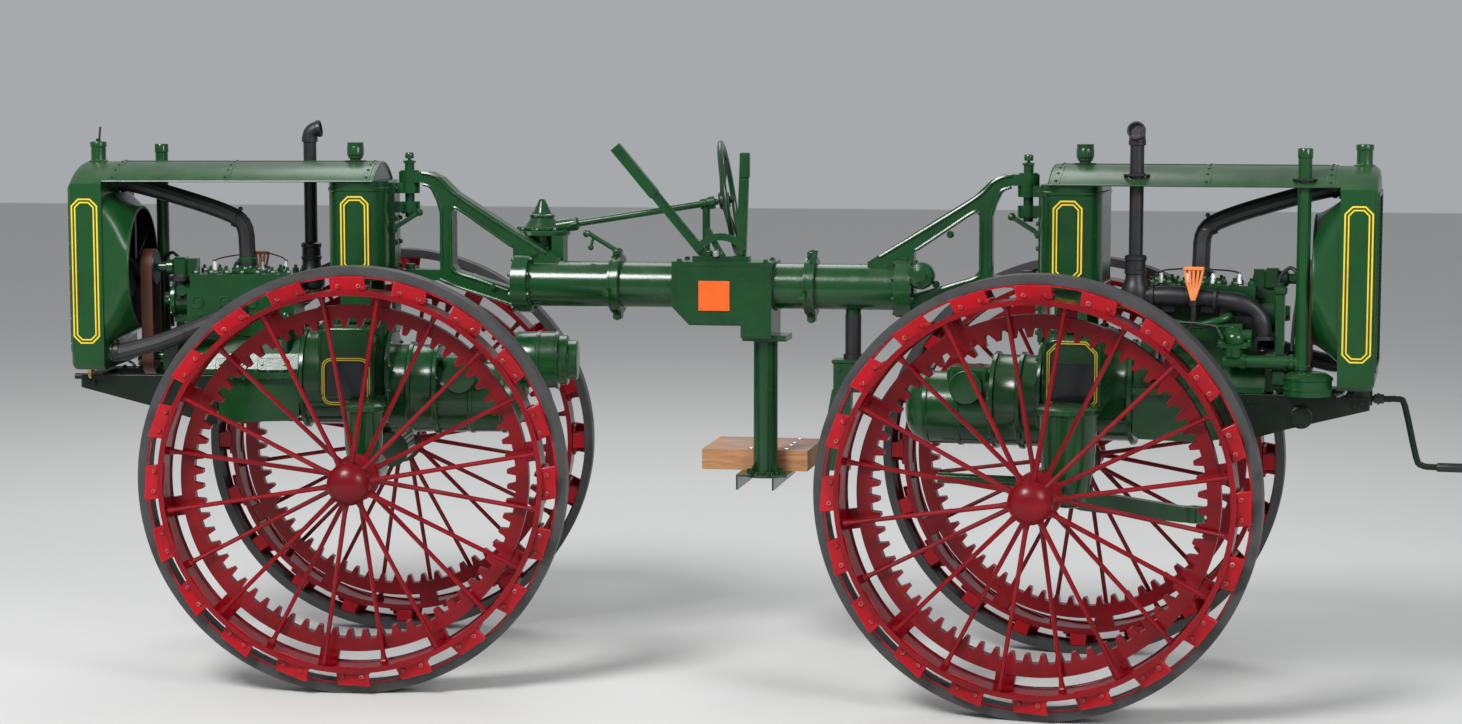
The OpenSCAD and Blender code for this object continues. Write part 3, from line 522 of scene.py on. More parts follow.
FINISH = {
    "green": paint("tractor_green", (0.0045, 0.051, 0.0115), (0.003, 0.036, 0.008), (0.03, 0.09, 0.04),
                   rough=(0.20, 0.36), gloss=0.22, dust=0.10),
    # sheet-metal green: its smoother finish is its own, but its lighter colour than the cast green is painted
    # reflection of the sky
    "sheet_green_with_painted_reflection": paint("sheet_green_with_painted_reflection", (0.005, 0.058, 0.0125), (0.004, 0.045, 0.009), (0.03, 0.09, 0.04),
                         rough=(0.28, 0.42), gloss=0.15, depth=0.05, dust=0.10),
    # darker green of the chassis, rail trim, starting crank and fan ring: painted shade of the place under
    # the hood and behind the radiator
    "shaded_green": paint("frame_green_painted_shade", (0.003, 0.012, 0.005), (0.002, 0.008, 0.0035), (0.015, 0.03, 0.02),
                        rough=(0.4, 0.6), gloss=0.0, dust=0.06, shine=0.3),
    "red": paint("wheel_red", (0.205, 0.001, 0.005), (0.135, 0.0008, 0.004), (0.30, 0.025, 0.04),
                 rough=(0.30, 0.5), gloss=0.12, wear=0.6, dust=0.0, depth=0.15, shine=0.22),
    # lighter red of the lugs: a lit copy of the wheel red, painted light on the lugs' outboard faces
    "lit_red": paint("lug_red_painted_light", (0.36, 0.0015, 0.008), (0.27, 0.001, 0.006), (0.48, 0.07, 0.08),
                        rough=(0.35, 0.55), gloss=0.1, wear=0.7, dust=0.0, depth=0.2, shine=0.22),
    "band": metal("road_band_steel", (0.050, 0.050, 0.052), (0.034, 0.031, 0.030), rough=(0.5, 0.75),
                  metallic=0.15, cover=0.5, wear=0.35, bare_and_highlit=(0.13, 0.13, 0.13)),
    "iron": metal("black_iron", (0.013, 0.013, 0.015), (0.026, 0.019, 0.017), rough=(0.42, 0.7),
                  metallic=0.1, cover=0.4, depth=0.35),
    "steel": metal("bright_steel", (0.45, 0.45, 0.46), (0.18, 0.15, 0.13), rough=(0.3, 0.5), cover=0.38),
    "brass": metal("brass", (0.65, 0.42, 0.14), (0.30, 0.18, 0.08), rough=(0.25, 0.5), cover=0.4),
    "gold": paint("gold_line", (0.74, 0.58, 0.04), (0.62, 0.47, 0.04), (0.74, 0.58, 0.04), wear=0.0,
                  dust=0.0, depth=0.03, gloss=0.1),
    "deep_gold": paint("gold_fill", (0.045, 0.052, 0.009), (0.035, 0.042, 0.008), (0.045, 0.052, 0.009),
                       wear=0.0, dust=0.0, depth=0.03, gloss=0.1),
    "hose": soft_stuff("hose_rubber", (0.016, 0.016, 0.018), (0.010, 0.010, 0.011), coat=0.1),
    "belt": soft_stuff("belt_leather", (0.110, 0.034, 0.020), (0.062, 0.021, 0.013)),
    "wire": soft_stuff("orange_wire", (0.80, 0.24, 0.06), (0.60, 0.16, 0.04), rough=(0.4, 0.6), depth=0.05),
    "china": soft_stuff("white_porcelain", (0.80, 0.80, 0.78), (0.62, 0.60, 0.55), rough=(0.15, 0.3),
                        depth=0.03, coat=0.5),
    # lug bolt heads: their lighter edges are partly wear and partly painted highlight
    "worn_and_highlit_red": paint("worn_and_highlit_red", (0.30, 0.003, 0.010), (0.22, 0.002, 0.008), (0.50, 0.34, 0.33), wear=1.0,
                      dust=0.0, grain=90.0, gloss=0.1),
    "dark_panel": paint("dark_panel", (0.006, 0.014, 0.022), (0.004, 0.009, 0.014), (0.02, 0.04, 0.05),
                        rough=(0.15, 0.3), gloss=0.3, wear=0.2, dust=0.0, depth=0.05),
    "oak": timber("oak_board", (0.52, 0.26, 0.115), (0.37, 0.17, 0.07), (0.17, 0.09, 0.05),
                  (0.30, 0.26, 0.25)),
    "orange": paint("orange_enamel", (0.85, 0.115, 0.010), (0.70, 0.085, 0.008), (0.55, 0.25, 0.12),
                    dust=0.0, depth=0.05, gloss=0.1),
    "core": metal("radiator_core", (0.020, 0.022, 0.023), (0.045, 0.034, 0.024), rough=(0.4, 0.7),
                  metallic=0.5, cover=0.4), }

# Finish of each kind of solid; the kind is the node's name without its unit and side
NODE_FINISH = {
    "centre_tube": "green", "saddle": "green", "gooseneck": "green", "tube_clamps": "green",
    "platform_post": "green", "platform": "oak", "steering_gear": "green", "steering_column": "green",
    "hand_levers": "green", "marker_plate": "orange", "steering_wheel": "iron",
    # chassis, starting crank and fan ring take the darker green, which is painted shade
    "chassis": "shaded_green", "engine": "green", "transmission": "green", "radiator": "sheet_green_with_painted_reflection",
    # radiator, hood and intake take the sheet green, made lighter by painted reflection
    "hood": "sheet_green_with_painted_reflection", "fuel_tank": "green", "exhaust": "iron", "intake": "sheet_green_with_painted_reflection",
               "hoses": "hose", "fan": "iron", "fan_belt": "belt", "hitch": "green",
               "starting_crank": "shaded_green", "wheel": "red", "road_band": "band",
               "fan_ring": "shaded_green", "drawbar": "green", "foot_lever": "green",
}


def kind_of(name):
    """A node's name without the words that say which one of its kind it is."""
    for part in ("left_", "right_", "near_", "far_"):
        name = name.removeprefix(part)
    return name


def dress_solids():
    """Each solid that stays in sight gets its finish."""
    for name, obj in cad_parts.items():
        finish = FINISH[NODE_FINISH[kind_of(name)]]
        slots = obj.material_slots
        if not slots:
            obj.data.materials.append(finish)
        for slot_ in slots:
            slot_.material = finish


# Painted lines: a bright line on each side of a dull one


def triple_line(corners, cut, to_face, name, where, body):
    """Three painted lines, one inside the other, round a cut-cornered outline, laid on a face by
    to_face."""
    widths = [("gold", 0.0050), ("deep_gold", 0.0060), ("gold", 0.0045)]
    outer = rounded(corners, cut, 2)
    draw = 0.0
    lines = {"gold": [], "deep_gold": []}
    for colour, width in widths:
        lines[colour].append(to_face(line_round(inset(outer, draw), width, 0.0006)))
        draw += width
    for colour, forms in lines.items():
        piece(f"{name}_{colour}_line", forms, FINISH[colour], body, where)


def side_face(y, sign):
    """Places (x, z) drawings on a unit's side face at y, so that their thickness points outwards."""
    return lambda form: on_plane(form, (0, y, 0), (1, 0, 0), (0, 0, 1)) if sign < 0 else \
        moved(on_plane(form, (0, 0, 0), (1, 0, 0), (0, 0, 1)), lambda p: p * [1, -1, 1] + [0, y, 0])


RADIATOR_SIDE, TANK_SIDE = 0.2202, 0.2003   # how far out the lines lie on each


def unit_lines(unit):
    """Painted lines on the radiator's sides and the fuel tank's ends."""
    body = f"{unit}_unit"
    for side, label in ((1, "left_hand"), (-1, "right_hand")):
        radiator = [[0.890, 1.092], [0.978, 1.092], [0.978, 1.572], [0.890, 1.572]]
        triple_line(radiator, 0.024, side_face(side * RADIATOR_SIDE, side),
                    f"{unit}_radiator_{label}", unit, body)
        tank = [[-0.004, 1.328], [0.090, 1.328], [0.090, 1.580], [-0.004, 1.580]]
        triple_line(tank, 0.024, side_face(side * TANK_SIDE, side), f"{unit}_tank_{label}", unit, body)


# Small parts that many pieces share


def bolt_ring(centre, along, radius, count, across=0.016, tall=0.008, phase=0.0, washer=True):
    """Bolt heads evenly spaced round a circle that is square to along."""
    e1, e2, axis = (e[0] for e in basis(along))
    turn = phase + np.arange(count) * 2 * np.pi / count
    places = np.asarray(centre, float) + radius * (np.cos(turn)[:, None] * e1 + np.sin(turn)[:, None] * e2)
    return bolts(places, axis, across, tall, washer)


def row_of(start, end, count):
    """Evenly spaced places from start to end."""
    return np.linspace(np.asarray(start, float), np.asarray(end, float), count)


def line_between(start, end, radius, sides=10, steps=2):
    """Straight round bar."""
    return pipe(row_of(start, end, steps), radius, sides)


def bend(knots, radius, sides=12, steps=6):
    """Round bar or pipe along a smooth path through the knots."""
    return pipe(smooth_path(knots, steps), radius, sides)


def hose_clamp(centre, along, radius, width=0.014):
    """Thin band round a hose, with the ears and the screw that draw it tight."""
    e1, e2, axis = (e[0] for e in basis(along))
    band = hoop([(radius, -width / 2), (radius + 0.0022, -width / 2), (radius + 0.0022, width / 2),
                 (radius, width / 2)], centre, axis, 40)
    at = np.asarray(centre) + e2 * (radius + 0.007)
    screw = lathe([(0.0035, -0.014), (0.0035, 0.012), (0.006, 0.012), (0.006, 0.017), (0.001, 0.017)], at,
                  e1, 10)
    ears = [lathe([(0.0075, -0.002), (0.0075, 0.002)], at + e1 * shift, e1,
                  12) for shift in (-0.006, 0.006)]
    return joined([band, screw] + ears)


def cup(place, along=(0, 0, 1), size=1.0):
    """Screw-down grease cup: hexagon foot, neck and knurled cap."""
    foot = lathe(np.array([(0.009, 0), (0.009, 0.008), (0.005, 0.009), (0.005, 0.014)]) * size, place,
                 along, 6)
    cap = lathe(np.array([(0.004, 0.012), (0.012, 0.013), (0.0135, 0.016), (0.0135, 0.027), (0.011, 0.031),
                          (0.001, 0.032)]) * size, place, along, 20)
    return joined([foot, cap])


def bead(path, radius, sides=8):
    """Rolled edge or weld along a path."""
    return pipe(path, radius, sides)


def weld_round(centre, along, radius, size=0.005, ripples=60):
    """Fillet of weld round a tube: the section's size swells and shrinks with each ripple."""
    e1, e2, axis = (e[0] for e in basis(along))
    turn = np.linspace(0, 2 * np.pi, ripples * 4, endpoint=False)[None, :]
    lean = np.linspace(0, 2 * np.pi, 8, endpoint=False)[:, None]
    thick = size * (1 + 0.18 * np.cos(ripples * turn))
    out = radius + thick * np.cos(lean)
    away = thick * np.sin(lean)
    circle = np.cos(turn)[..., None] * e1 + np.sin(turn)[..., None] * e2
    points = (np.asarray(centre, float) + out[..., None] * circle
              + away[..., None] * axis)
    return grid(points, wrap_u=True, wrap_v=True)


def ring_section(inner, outer, low, high):
    """Rectangle of (radius, distance) pairs, for a hoop."""
    return [(inner, low), (outer, low), (outer, high), (inner, high)]


# Wheels: drawn about z outboard, with z = 0 at the road band's middle plane

LUGS, SPOKES, TEETH, FEET = 20, 20, 64, 10
SLANT = math.radians(14)                # how far a lug's plate stands aslant
LUG_Z = 0.0715                          # middle of the lugs' plates
OUTER_TURN, INNER_TURN = 9, 27          # where the outer and the inner row of spokes start, in degrees
BAND_R, RIM_R, RIM_THICK = 0.657, 0.612, 0.012      # inside of the road band, outside of the rim
RIM_IN, RIM_OUT = -0.048, 0.092                     # inboard and outboard edges of the rim
GEAR_R, ROOT_R, TIP_R = 0.560, 0.518, 0.490
GEAR_LOW, GEAR_HIGH = -0.046, -0.008


def wheel_axes(unit, side):
    """A wheel's own axes: forward, the axis square to it, and outboard."""
    origin = middle(f"{unit}_{side}_road_band")
    hand = NEAR_SIDE[unit] * (1 if side == "near" else -1)
    forward, left, up = AXES[unit][1]
    return origin, np.array([forward, -hand * up, hand * left])


def turned(form, count, phase=0.0):
    """A form repeated count times about z."""
    angle = phase + np.arange(count) * 2 * np.pi / count
    cos, sin, zero, one = np.cos(angle), np.sin(angle), np.zeros(count), np.ones(count)
    turns = np.stack([np.stack([cos, -sin, zero], -1), np.stack([sin, cos, zero], -1),
                      np.stack([zero, zero, one], -1)], axis=1)
    return copies(form, turns, np.zeros((count, 3)))


def gear_ring():
    """Internal gear: along each tooth the inner radius goes root, root, tip, tip, root, with a plain
    outer circle."""
    share = np.array([0.0, 0.26, 0.40, 0.66, 0.80])
    radius = np.tile([ROOT_R, ROOT_R, TIP_R, TIP_R, ROOT_R], TEETH)
    angle = (np.arange(TEETH)[:, None] + share).ravel() * 2 * np.pi / TEETH
    circle = np.column_stack([np.cos(angle), np.sin(angle)])
    rows = [(radius, GEAR_LOW), (radius, GEAR_HIGH - 0.002), (radius + 0.002, GEAR_HIGH),
            (GEAR_R, GEAR_HIGH), (GEAR_R, GEAR_LOW)]
    section = [np.column_stack([circle * np.reshape(r, (-1, 1)), np.full(len(circle), z)]) for r, z in rows]
    return grid(np.array(section), wrap_u=True, wrap_v=True)


def spoke(hub_z, rim_z):
    """Round bar from the hub to the rim, a little thicker at both ends."""
    share = np.array([0, 0.04, 0.10, 0.5, 0.93, 0.97, 1.0])
    path = np.outer(1 - share, [0.040, 0, hub_z]) + np.outer(share, [RIM_R - RIM_THICK / 2, 0, rim_z])
    return pipe(path, [0.0125, 0.0115, 0.0082, 0.0072, 0.0076, 0.0105, 0.0105], 10, side=(0, 1, 0))


def wheel_pieces(unit, side):
    """Rim, internal gear, feet, hub, spokes and nuts as one wheel, and its lugs with their bolts."""
    name = f"{unit}_{side}"
    where = f"{name}_wheel"
    body = f"{name}_road_wheel"
    AXES[where] = wheel_axes(unit, side)
    centre, outboard = (0, 0, 0), (0, 0, 1)
    inner = RIM_R - RIM_THICK
    rim = hoop([(inner, RIM_IN), (inner - 0.004, RIM_IN), (inner - 0.005, RIM_IN + 0.005),
                (inner, RIM_IN + 0.008), (inner, RIM_OUT - 0.008), (inner - 0.005, RIM_OUT - 0.005),
                (inner - 0.004, RIM_OUT), (RIM_R, RIM_OUT), (RIM_R, RIM_IN)], centre, outboard, 144)
    foot = slab(rectangle(inner - GEAR_R + 0.014, 0.062, 0.010, 4) + [(inner + GEAR_R) / 2, 0],
                GEAR_LOW + 0.002, -0.012, 0.003)
    foot_bolts = bolts([(inner - 0.020, t, -0.012) for t in (-0.016, 0.016)], outboard, 0.013, 0.008, False)
    hub = lathe([(0.031, -0.070), (0.073, -0.070), (0.0755, -0.067), (0.0755, -0.032), (0.072, -0.027),
                 (0.050, -0.022), (0.046, -0.014), (0.046, 0.064), (0.050, 0.071), (0.064, 0.074),
                 (0.0675, 0.077), (0.0675, 0.082), (0.0655, 0.084), (0.0655, 0.106), (0.068, 0.108),
                 (0.068, 0.115), (0.0645, 0.1195), (0.057, 0.129), (0.046, 0.1383), (0.031, 0.1460),
                 (0.014, 0.1500), (0.001, 0.1507)], centre, outboard, 56)
    spokes = [turned(spoke(0.096, RIM_OUT - 0.026), SPOKES // 2, math.radians(OUTER_TURN)),
              turned(spoke(-0.046, GEAR_HIGH + 0.028), SPOKES // 2, math.radians(INNER_TURN))]
    nut_outline = [(0.013, 0), (0.013, 0.010), (0.010, 0.014), (0.0085, 0.020)]
    nuts = [turned(lathe(nut_outline, (inner, 0, z), (-1, 0, 0), 6), SPOKES // 2, math.radians(angle))
            for z, angle in ((RIM_OUT - 0.028, OUTER_TURN), (GEAR_HIGH + 0.029, INNER_TURN))]
    plate = slab(rectangle(0.090, 0.058, 0.008, 3), 0, 0.004, 0.0015)
    plates = turned(on_plane(plate, (inner, 0, 0.020), (0, 1, 0), (0, 0, 1)), 5, math.radians(18))
    wheel = piece(f"{name}_spoked_wheel", [rim, gear_ring(), hub, plates] + spokes + nuts
                  + [turned(joined([foot, foot_bolts]), FEET, math.radians(OUTER_TURN))], FINISH["red"],
                  body, where)
    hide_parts(f"{name}_wheel")
    # lug: a plate that stands aslant on the rim's outboard part, its sole along the rim, and the seat under
    # the band
    across, upward = np.array([0, math.cos(SLANT), math.sin(SLANT)]), np.array([1, 0, 0])
    outline = rounded([[-0.060, 0.594], [0.050, 0.594], [0.060, 0.6545], [-0.050, 0.6545]], 0.005, 3)
    face = on_plane(slab(outline, -0.005, 0.005, 0.0015), (0, 0, LUG_Z), across, upward)
    sole = slab(rectangle(0.010, 0.104, 0.002, 2) + [RIM_R + 0.005, 0], -0.030, 0.070, 0.0015)
    seat = slab(rectangle(BAND_R - RIM_R - 0.0005, 0.052, 0.004, 3) + [(BAND_R + RIM_R) / 2, 0], -0.044,
                0.046, 0.002)
    lugs = turned(joined([face, sole, seat]), LUGS)
    edge = hoop(ring_section(BAND_R - 0.0065, BAND_R - 0.0003, 0.038, 0.0465), centre, outboard, 144)
    # lugs and the band's inner edge take the lighter red, which is painted light
    piece(f"{name}_lugs", [lugs, edge], FINISH["lit_red"], body, where)
    out = np.cross(upward, across)
    heads = [upward * 0.625 + across * t + [0, 0, LUG_Z] + out * 0.005 for t in (-0.032, 0.032)]
    # bolt heads with lighter edges of wear and painted highlight
    piece(f"{name}_lug_bolts", [turned(bolts(heads, out, 0.016, 0.006, False), LUGS)], FINISH["worn_and_highlit_red"],
          body, where)


# Power unit


FAN_Z = 1.334                           # height of the fan's axis
EXHAUST_AT = (0.252, -0.150)            # the exhaust stack's place
AIR_PIPE_AT = (0.768, -0.172)           # the air pipe's place
OUTLET_X = 0.442                        # the water outlet's place along the head
FILLER_X = 0.070                        # the fuel filler's place
HEAD_TOP = 1.314                        # height of the cylinder head's top
CRANK_Z = 0.962                         # height of the crank shaft
HOOD_EDGE_Z = 1.6285                    # height of the hood's side edges
HOOD_CROWN = 0.38665                    # radius of the hood's and the radiator's curved tops
HOOD_AXIS = 1.690 - HOOD_CROWN          # height of the curve's centre


def roof(across, lift=0.0):
    """Height of the curved top at a distance across from the middle."""
    return HOOD_AXIS + np.sqrt((HOOD_CROWN + lift) ** 2 - across ** 2)


def radiator_shell():
    """Casing: its outline in y and z has upright sides under the hood's curve. It is carried forward
    along x, drawn in round a quarter circle at the front edge, and then clamped to the core's rectangle
    and back to the core."""
    half = 0.220
    y = np.linspace(half, -half, 25)
    top = np.column_stack([y, roof(np.abs(y))])
    side = np.linspace(roof(half), 1.018, 12)[1:]
    bottom = np.column_stack([np.linspace(-half + 0.012, half - 0.012, 12), np.full(12, 1.005)])
    outline = np.concatenate([top, np.column_stack([np.full(11, -half), side]), bottom,
                              np.column_stack([np.full(11, half), side[::-1]])])
    bend_r = 0.024
    lean = np.linspace(0, np.pi / 2, 6)
    stations = [(0.878, 0.0)] + list(zip(0.990 - bend_r + bend_r * np.sin(lean),
                                         bend_r - bend_r * np.cos(lean)))
    rows = [np.column_stack([np.full(len(outline), x), inset(outline, draw)]) for x, draw in stations]
    core = np.clip(inset(outline, bend_r), [-0.185, 1.070], [0.185, 1.602])
    rows += [np.column_stack([np.full(len(core), x), core]) for x in (0.990, 0.976)]
    return capped(np.array(rows))


def shroud_shell(outer, inner):
    """Fan shroud: at each place along x its section is the curve |y/a|^n + |z/b|^n = 1, whose a, b and n
    run from a rounded rectangle at the radiator to a circle round the fan. Outer rows go back and inner
    rows return; outer and inner are how far the two skins lie inside that curve."""
    share = np.linspace(0, 1, 13)
    ease = 1 - (1 - share) ** 1.35
    x = 0.8775 - 0.0830 * share
    wide, tall, power = 0.213 - 0.0085 * ease, 0.252 - 0.0475 * ease, 7 - 5 * ease
    turn = np.linspace(0, 2 * np.pi, 96, endpoint=False)[None, :]
    rows = []
    for thick, order in ((outer, slice(None)), (inner, slice(None, None, -1))):
        a, b, n = ((wide - thick)[order, None], (tall - thick)[order, None], power[order, None])
        reach = (np.abs(np.cos(turn) / a) ** n + np.abs(np.sin(turn) / b) ** n) ** (-1 / n)
        rows.append(np.stack([np.broadcast_to(x[order, None], reach.shape), reach * np.cos(turn),
                              FAN_Z + reach * np.sin(turn)], -1))
    return grid(np.concatenate(rows), wrap_u=True, wrap_v=True)


def fins(low, high, x, sign):
    """Corrugated sheet between two (y, z) corners: its depth swings with y."""
    y, z = np.linspace(low[0], high[0], 241), np.linspace(low[1], high[1], 3)
    depth = x + sign * 0.0065 * (np.arange(241) % 2)
    shape = (3, 241)
    return grid(np.stack([np.broadcast_to(depth, shape), np.broadcast_to(y, shape),
                          np.broadcast_to(z[:, None], shape)], -1))


def radiator_pieces(unit):
    """Casing with its neck, finned core, drain, fan shroud with a dark lining of painted shade, and hose
    collars.
    """
    body = f"{unit}_unit"
    tubes = [block((0.9765, -0.1845, h - 0.0022), (0.9862, 0.1845, h + 0.0022),
                   0.001) for h in np.arange(1.084, 1.600, 0.0135)]
    piece(f"{unit}_radiator_fins",
          [fins((-0.1845, 1.0705), (0.1845, 1.6015), 0.9775, 1),
           fins((-0.180, 1.150), (0.180, 1.520), 0.877, -1)]
          + tubes, FINISH["core"], body, unit, smooth=10)
    # frame round the core, with its screws
    border = on_plane(line_round(rectangle(0.392, 0.554, 0.014, 4), 0.014, 0.004), (0.9898, 0, 1.336),
                      (0, 1, 0), (0, 0, 1))
    screws = [bolts(row_of((0.9905, side * 0.193, 1.09), (0.9905, side * 0.193, 1.59), 7), (1, 0, 0), 0.009,
                    0.003, False)
              for side in (-1, 1)]
    neck = lathe([(0.033, 1.684), (0.033, 1.692), (0.0255, 1.695), (0.0245, 1.699), (0.0245, 1.738),
                  (0.0272, 1.740), (0.0272, 1.7525), (0.0255, 1.7560), (0.012, 1.7575), (0.001, 1.758)],
                  (0.940, 0, 0), (0, 0, 1), 32)
    casing = piece(f"{unit}_radiator_casing", [radiator_shell(), border, neck] + screws,
                   FINISH["sheet_green_with_painted_reflection"], body, unit)
    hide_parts(f"{unit}_radiator")
    if unit == "left":
        gauge = [line_between((0.938, 0, 1.752), (0.932, 0, 1.806), 0.0035, 8),
                 line_between((0.940, 0, 1.752), (0.940, 0, 1.766), 0.008, 10)]
        piece("left_radiator_gauge", gauge, FINISH["iron"], body, unit)
    drain = [lathe([(0.008, 0), (0.008, 0.012), (0.005, 0.014), (0.005, 0.030), (0.003, 0.032)],
                   (0.934, 0.19, 1.006), (0, 0, -1), 10),
             line_between((0.934, 0.176, 0.985), (0.934, 0.206, 0.985), 0.003, 8)]
    piece(f"{unit}_radiator_drain", drain, FINISH["brass"], body, unit)
    lip = hoop([(0.2035, 0.7945), (0.2065, 0.7955), (0.2080, 0.7985), (0.2065, 0.8015), (0.2040, 0.8025)],
               (0, 0, FAN_Z), (1, 0, 0), 72)
    shroud = piece(f"{unit}_fan_shroud", [shroud_shell(0.0, 0.003), lip], FINISH["sheet_green_with_painted_reflection"], body, unit)
    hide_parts(f"{unit}_fan_ring")
    # dark lining inside the shroud: painted shade in the fan opening
    piece(f"{unit}_shroud_lining_of_painted_shade", [shroud_shell(0.0032, 0.0075)], FINISH["core"], body, unit)
    collars = [lathe([(0.040, -0.010), (0.040, -0.002), (0.033, 0.0), (0.033, 0.014), (0.029, 0.015)], at,
                     (-1, 0, 0), 28)
               for at in ((0.8785, 0.02, 1.618), (0.8785, 0.15, 1.058))]
    piece(f"{unit}_hose_collars", collars, FINISH["green"], body, unit)


def hood_pieces(unit):
    """Trim of the curved hood: rolled edges, straps, rivets, rear plate and pipe collars."""
    body = f"{unit}_unit"
    edges = [bead(row_of((-0.019, s * 0.2085, HOOD_EDGE_Z), (0.876, s * 0.2085, HOOD_EDGE_Z), 12),
                  0.0028) for s in (-1, 1)]
    y = np.linspace(-0.2075, 0.2075, 25)
    straps = []
    for x in (0.004, 0.470, 0.846):
        low = np.stack([np.full(25, x - 0.013), y, roof(y)], -1)
        high = np.stack([np.full(25, x - 0.012), y, roof(y, 0.002)], -1)
        far = high + [0.024, 0, 0]
        end = low + [0.026, 0, 0]
        straps.append(grid(np.stack([low, high, far, end])))
    rivets = [bolts([(x, a, roof(a, 0.0018)) for a in np.linspace(-0.19, 0.19, 9)], (0, 0, 1), 0.010, 0.003,
                    False)
              for x in (0.004, 0.470, 0.846)]
    rear = bead(np.column_stack([np.full(25, -0.0195), y, roof(y) - 0.002]), 0.0038)
    joint = block((0.0, -0.0045, 1.6885), (0.862, 0.0045, 1.6925), 0.001)
    # plate that closes the hood's rear end
    ends = [np.concatenate([np.column_stack([np.full(25, x), y, roof(y, -0.006)]),
                            [[x, 0.2075, HOOD_EDGE_Z], [x, -0.2075, HOOD_EDGE_Z]]])
            for x in (-0.018, -0.012)]
    piece(f"{unit}_hood_trim", edges + straps + rivets + [rear, joint, capped(np.array(ends))],
          FINISH["sheet_green_with_painted_reflection"], body, unit)
    # collars where the pipes and the filler pass
    collars = [hoop(ring_section(r, r + 0.013, roof(abs(yy)) - 0.001, roof(abs(yy)) + 0.0035), (xx, yy, 0),
                    (0, 0, 1), 32)
               for xx, yy, r in ((*EXHAUST_AT, 0.0285), (*AIR_PIPE_AT, 0.0245), (FILLER_X, 0.0, 0.0225))]
    piece(f"{unit}_hood_collars", collars, FINISH["iron"], body, unit)


def tank_outline(grow=0.0):
    """Plan of the fuel tank: straight ends joined by half rounds."""
    r, straight = 0.094 + grow, 0.106
    turn = np.linspace(0, np.pi, 17)
    top = np.column_stack([r * np.cos(turn), straight + r * np.sin(turn)])
    return np.concatenate([top, -top]) * [1.03, 1.0] + [0.043, 0]


def tank_pieces(unit):
    """Fuel tank's rims, cap and feet, and the pipe to the carburettor."""
    body = f"{unit}_unit"
    plan = tank_outline(0.004)
    rims = [slab(plan, z0, z0 + 0.014, 0.003) for z0 in (1.302, 1.594)]
    cap = lathe([(0.021, 1.700), (0.025, 1.702), (0.025, 1.709), (0.0285, 1.712), (0.0285, 1.738),
                 (0.025, 1.744), (0.012, 1.748), (0.007, 1.7535), (0.001, 1.7538)],
                 (FILLER_X, 0, 0), (0, 0, 1), 14)
    saddle_feet = [block((0.0, s * 0.150 - 0.016, 1.158), (0.10, s * 0.150 + 0.016, 1.300),
                         0.004) for s in (-1, 1)]
    foot_bolts = bolts([(x, s * 0.15, 1.1585) for x in (-0.012, 0.112) for s in (-1, 1)], (0, 0, 1), 0.016,
                       0.009)
    piece(f"{unit}_tank_trim", rims + [cap] + saddle_feet + [foot_bolts], FINISH["green"], body, unit)
    # fuel tap, its bowl and the pipe to the carburettor
    tap = [lathe([(0.011, 1.300), (0.011, 1.288), (0.007, 1.286), (0.007, 1.270), (0.016, 1.268),
                  (0.016, 1.262), (0.013, 1.260), (0.013, 1.228), (0.006, 1.222), (0.001, 1.221)],
                  (0.112, -0.100, 0), (0, 0, 1), 16),
           line_between((0.112, -0.100, 1.278), (0.112, -0.134, 1.278), 0.003, 8),
           bend([(0.112, -0.100, 1.266), (0.140, -0.110, 1.262), (0.190, -0.128, 1.245),
                 (0.262, -0.172, 1.236), (0.40, -0.182, 1.206), (0.500, -0.184, 1.196),
                 (0.552, -0.182, 1.192), (0.560, -0.178, 1.184)], 0.0036, 8, 6)]
    piece(f"{unit}_fuel_pipe", tap, FINISH["green"], body, unit)


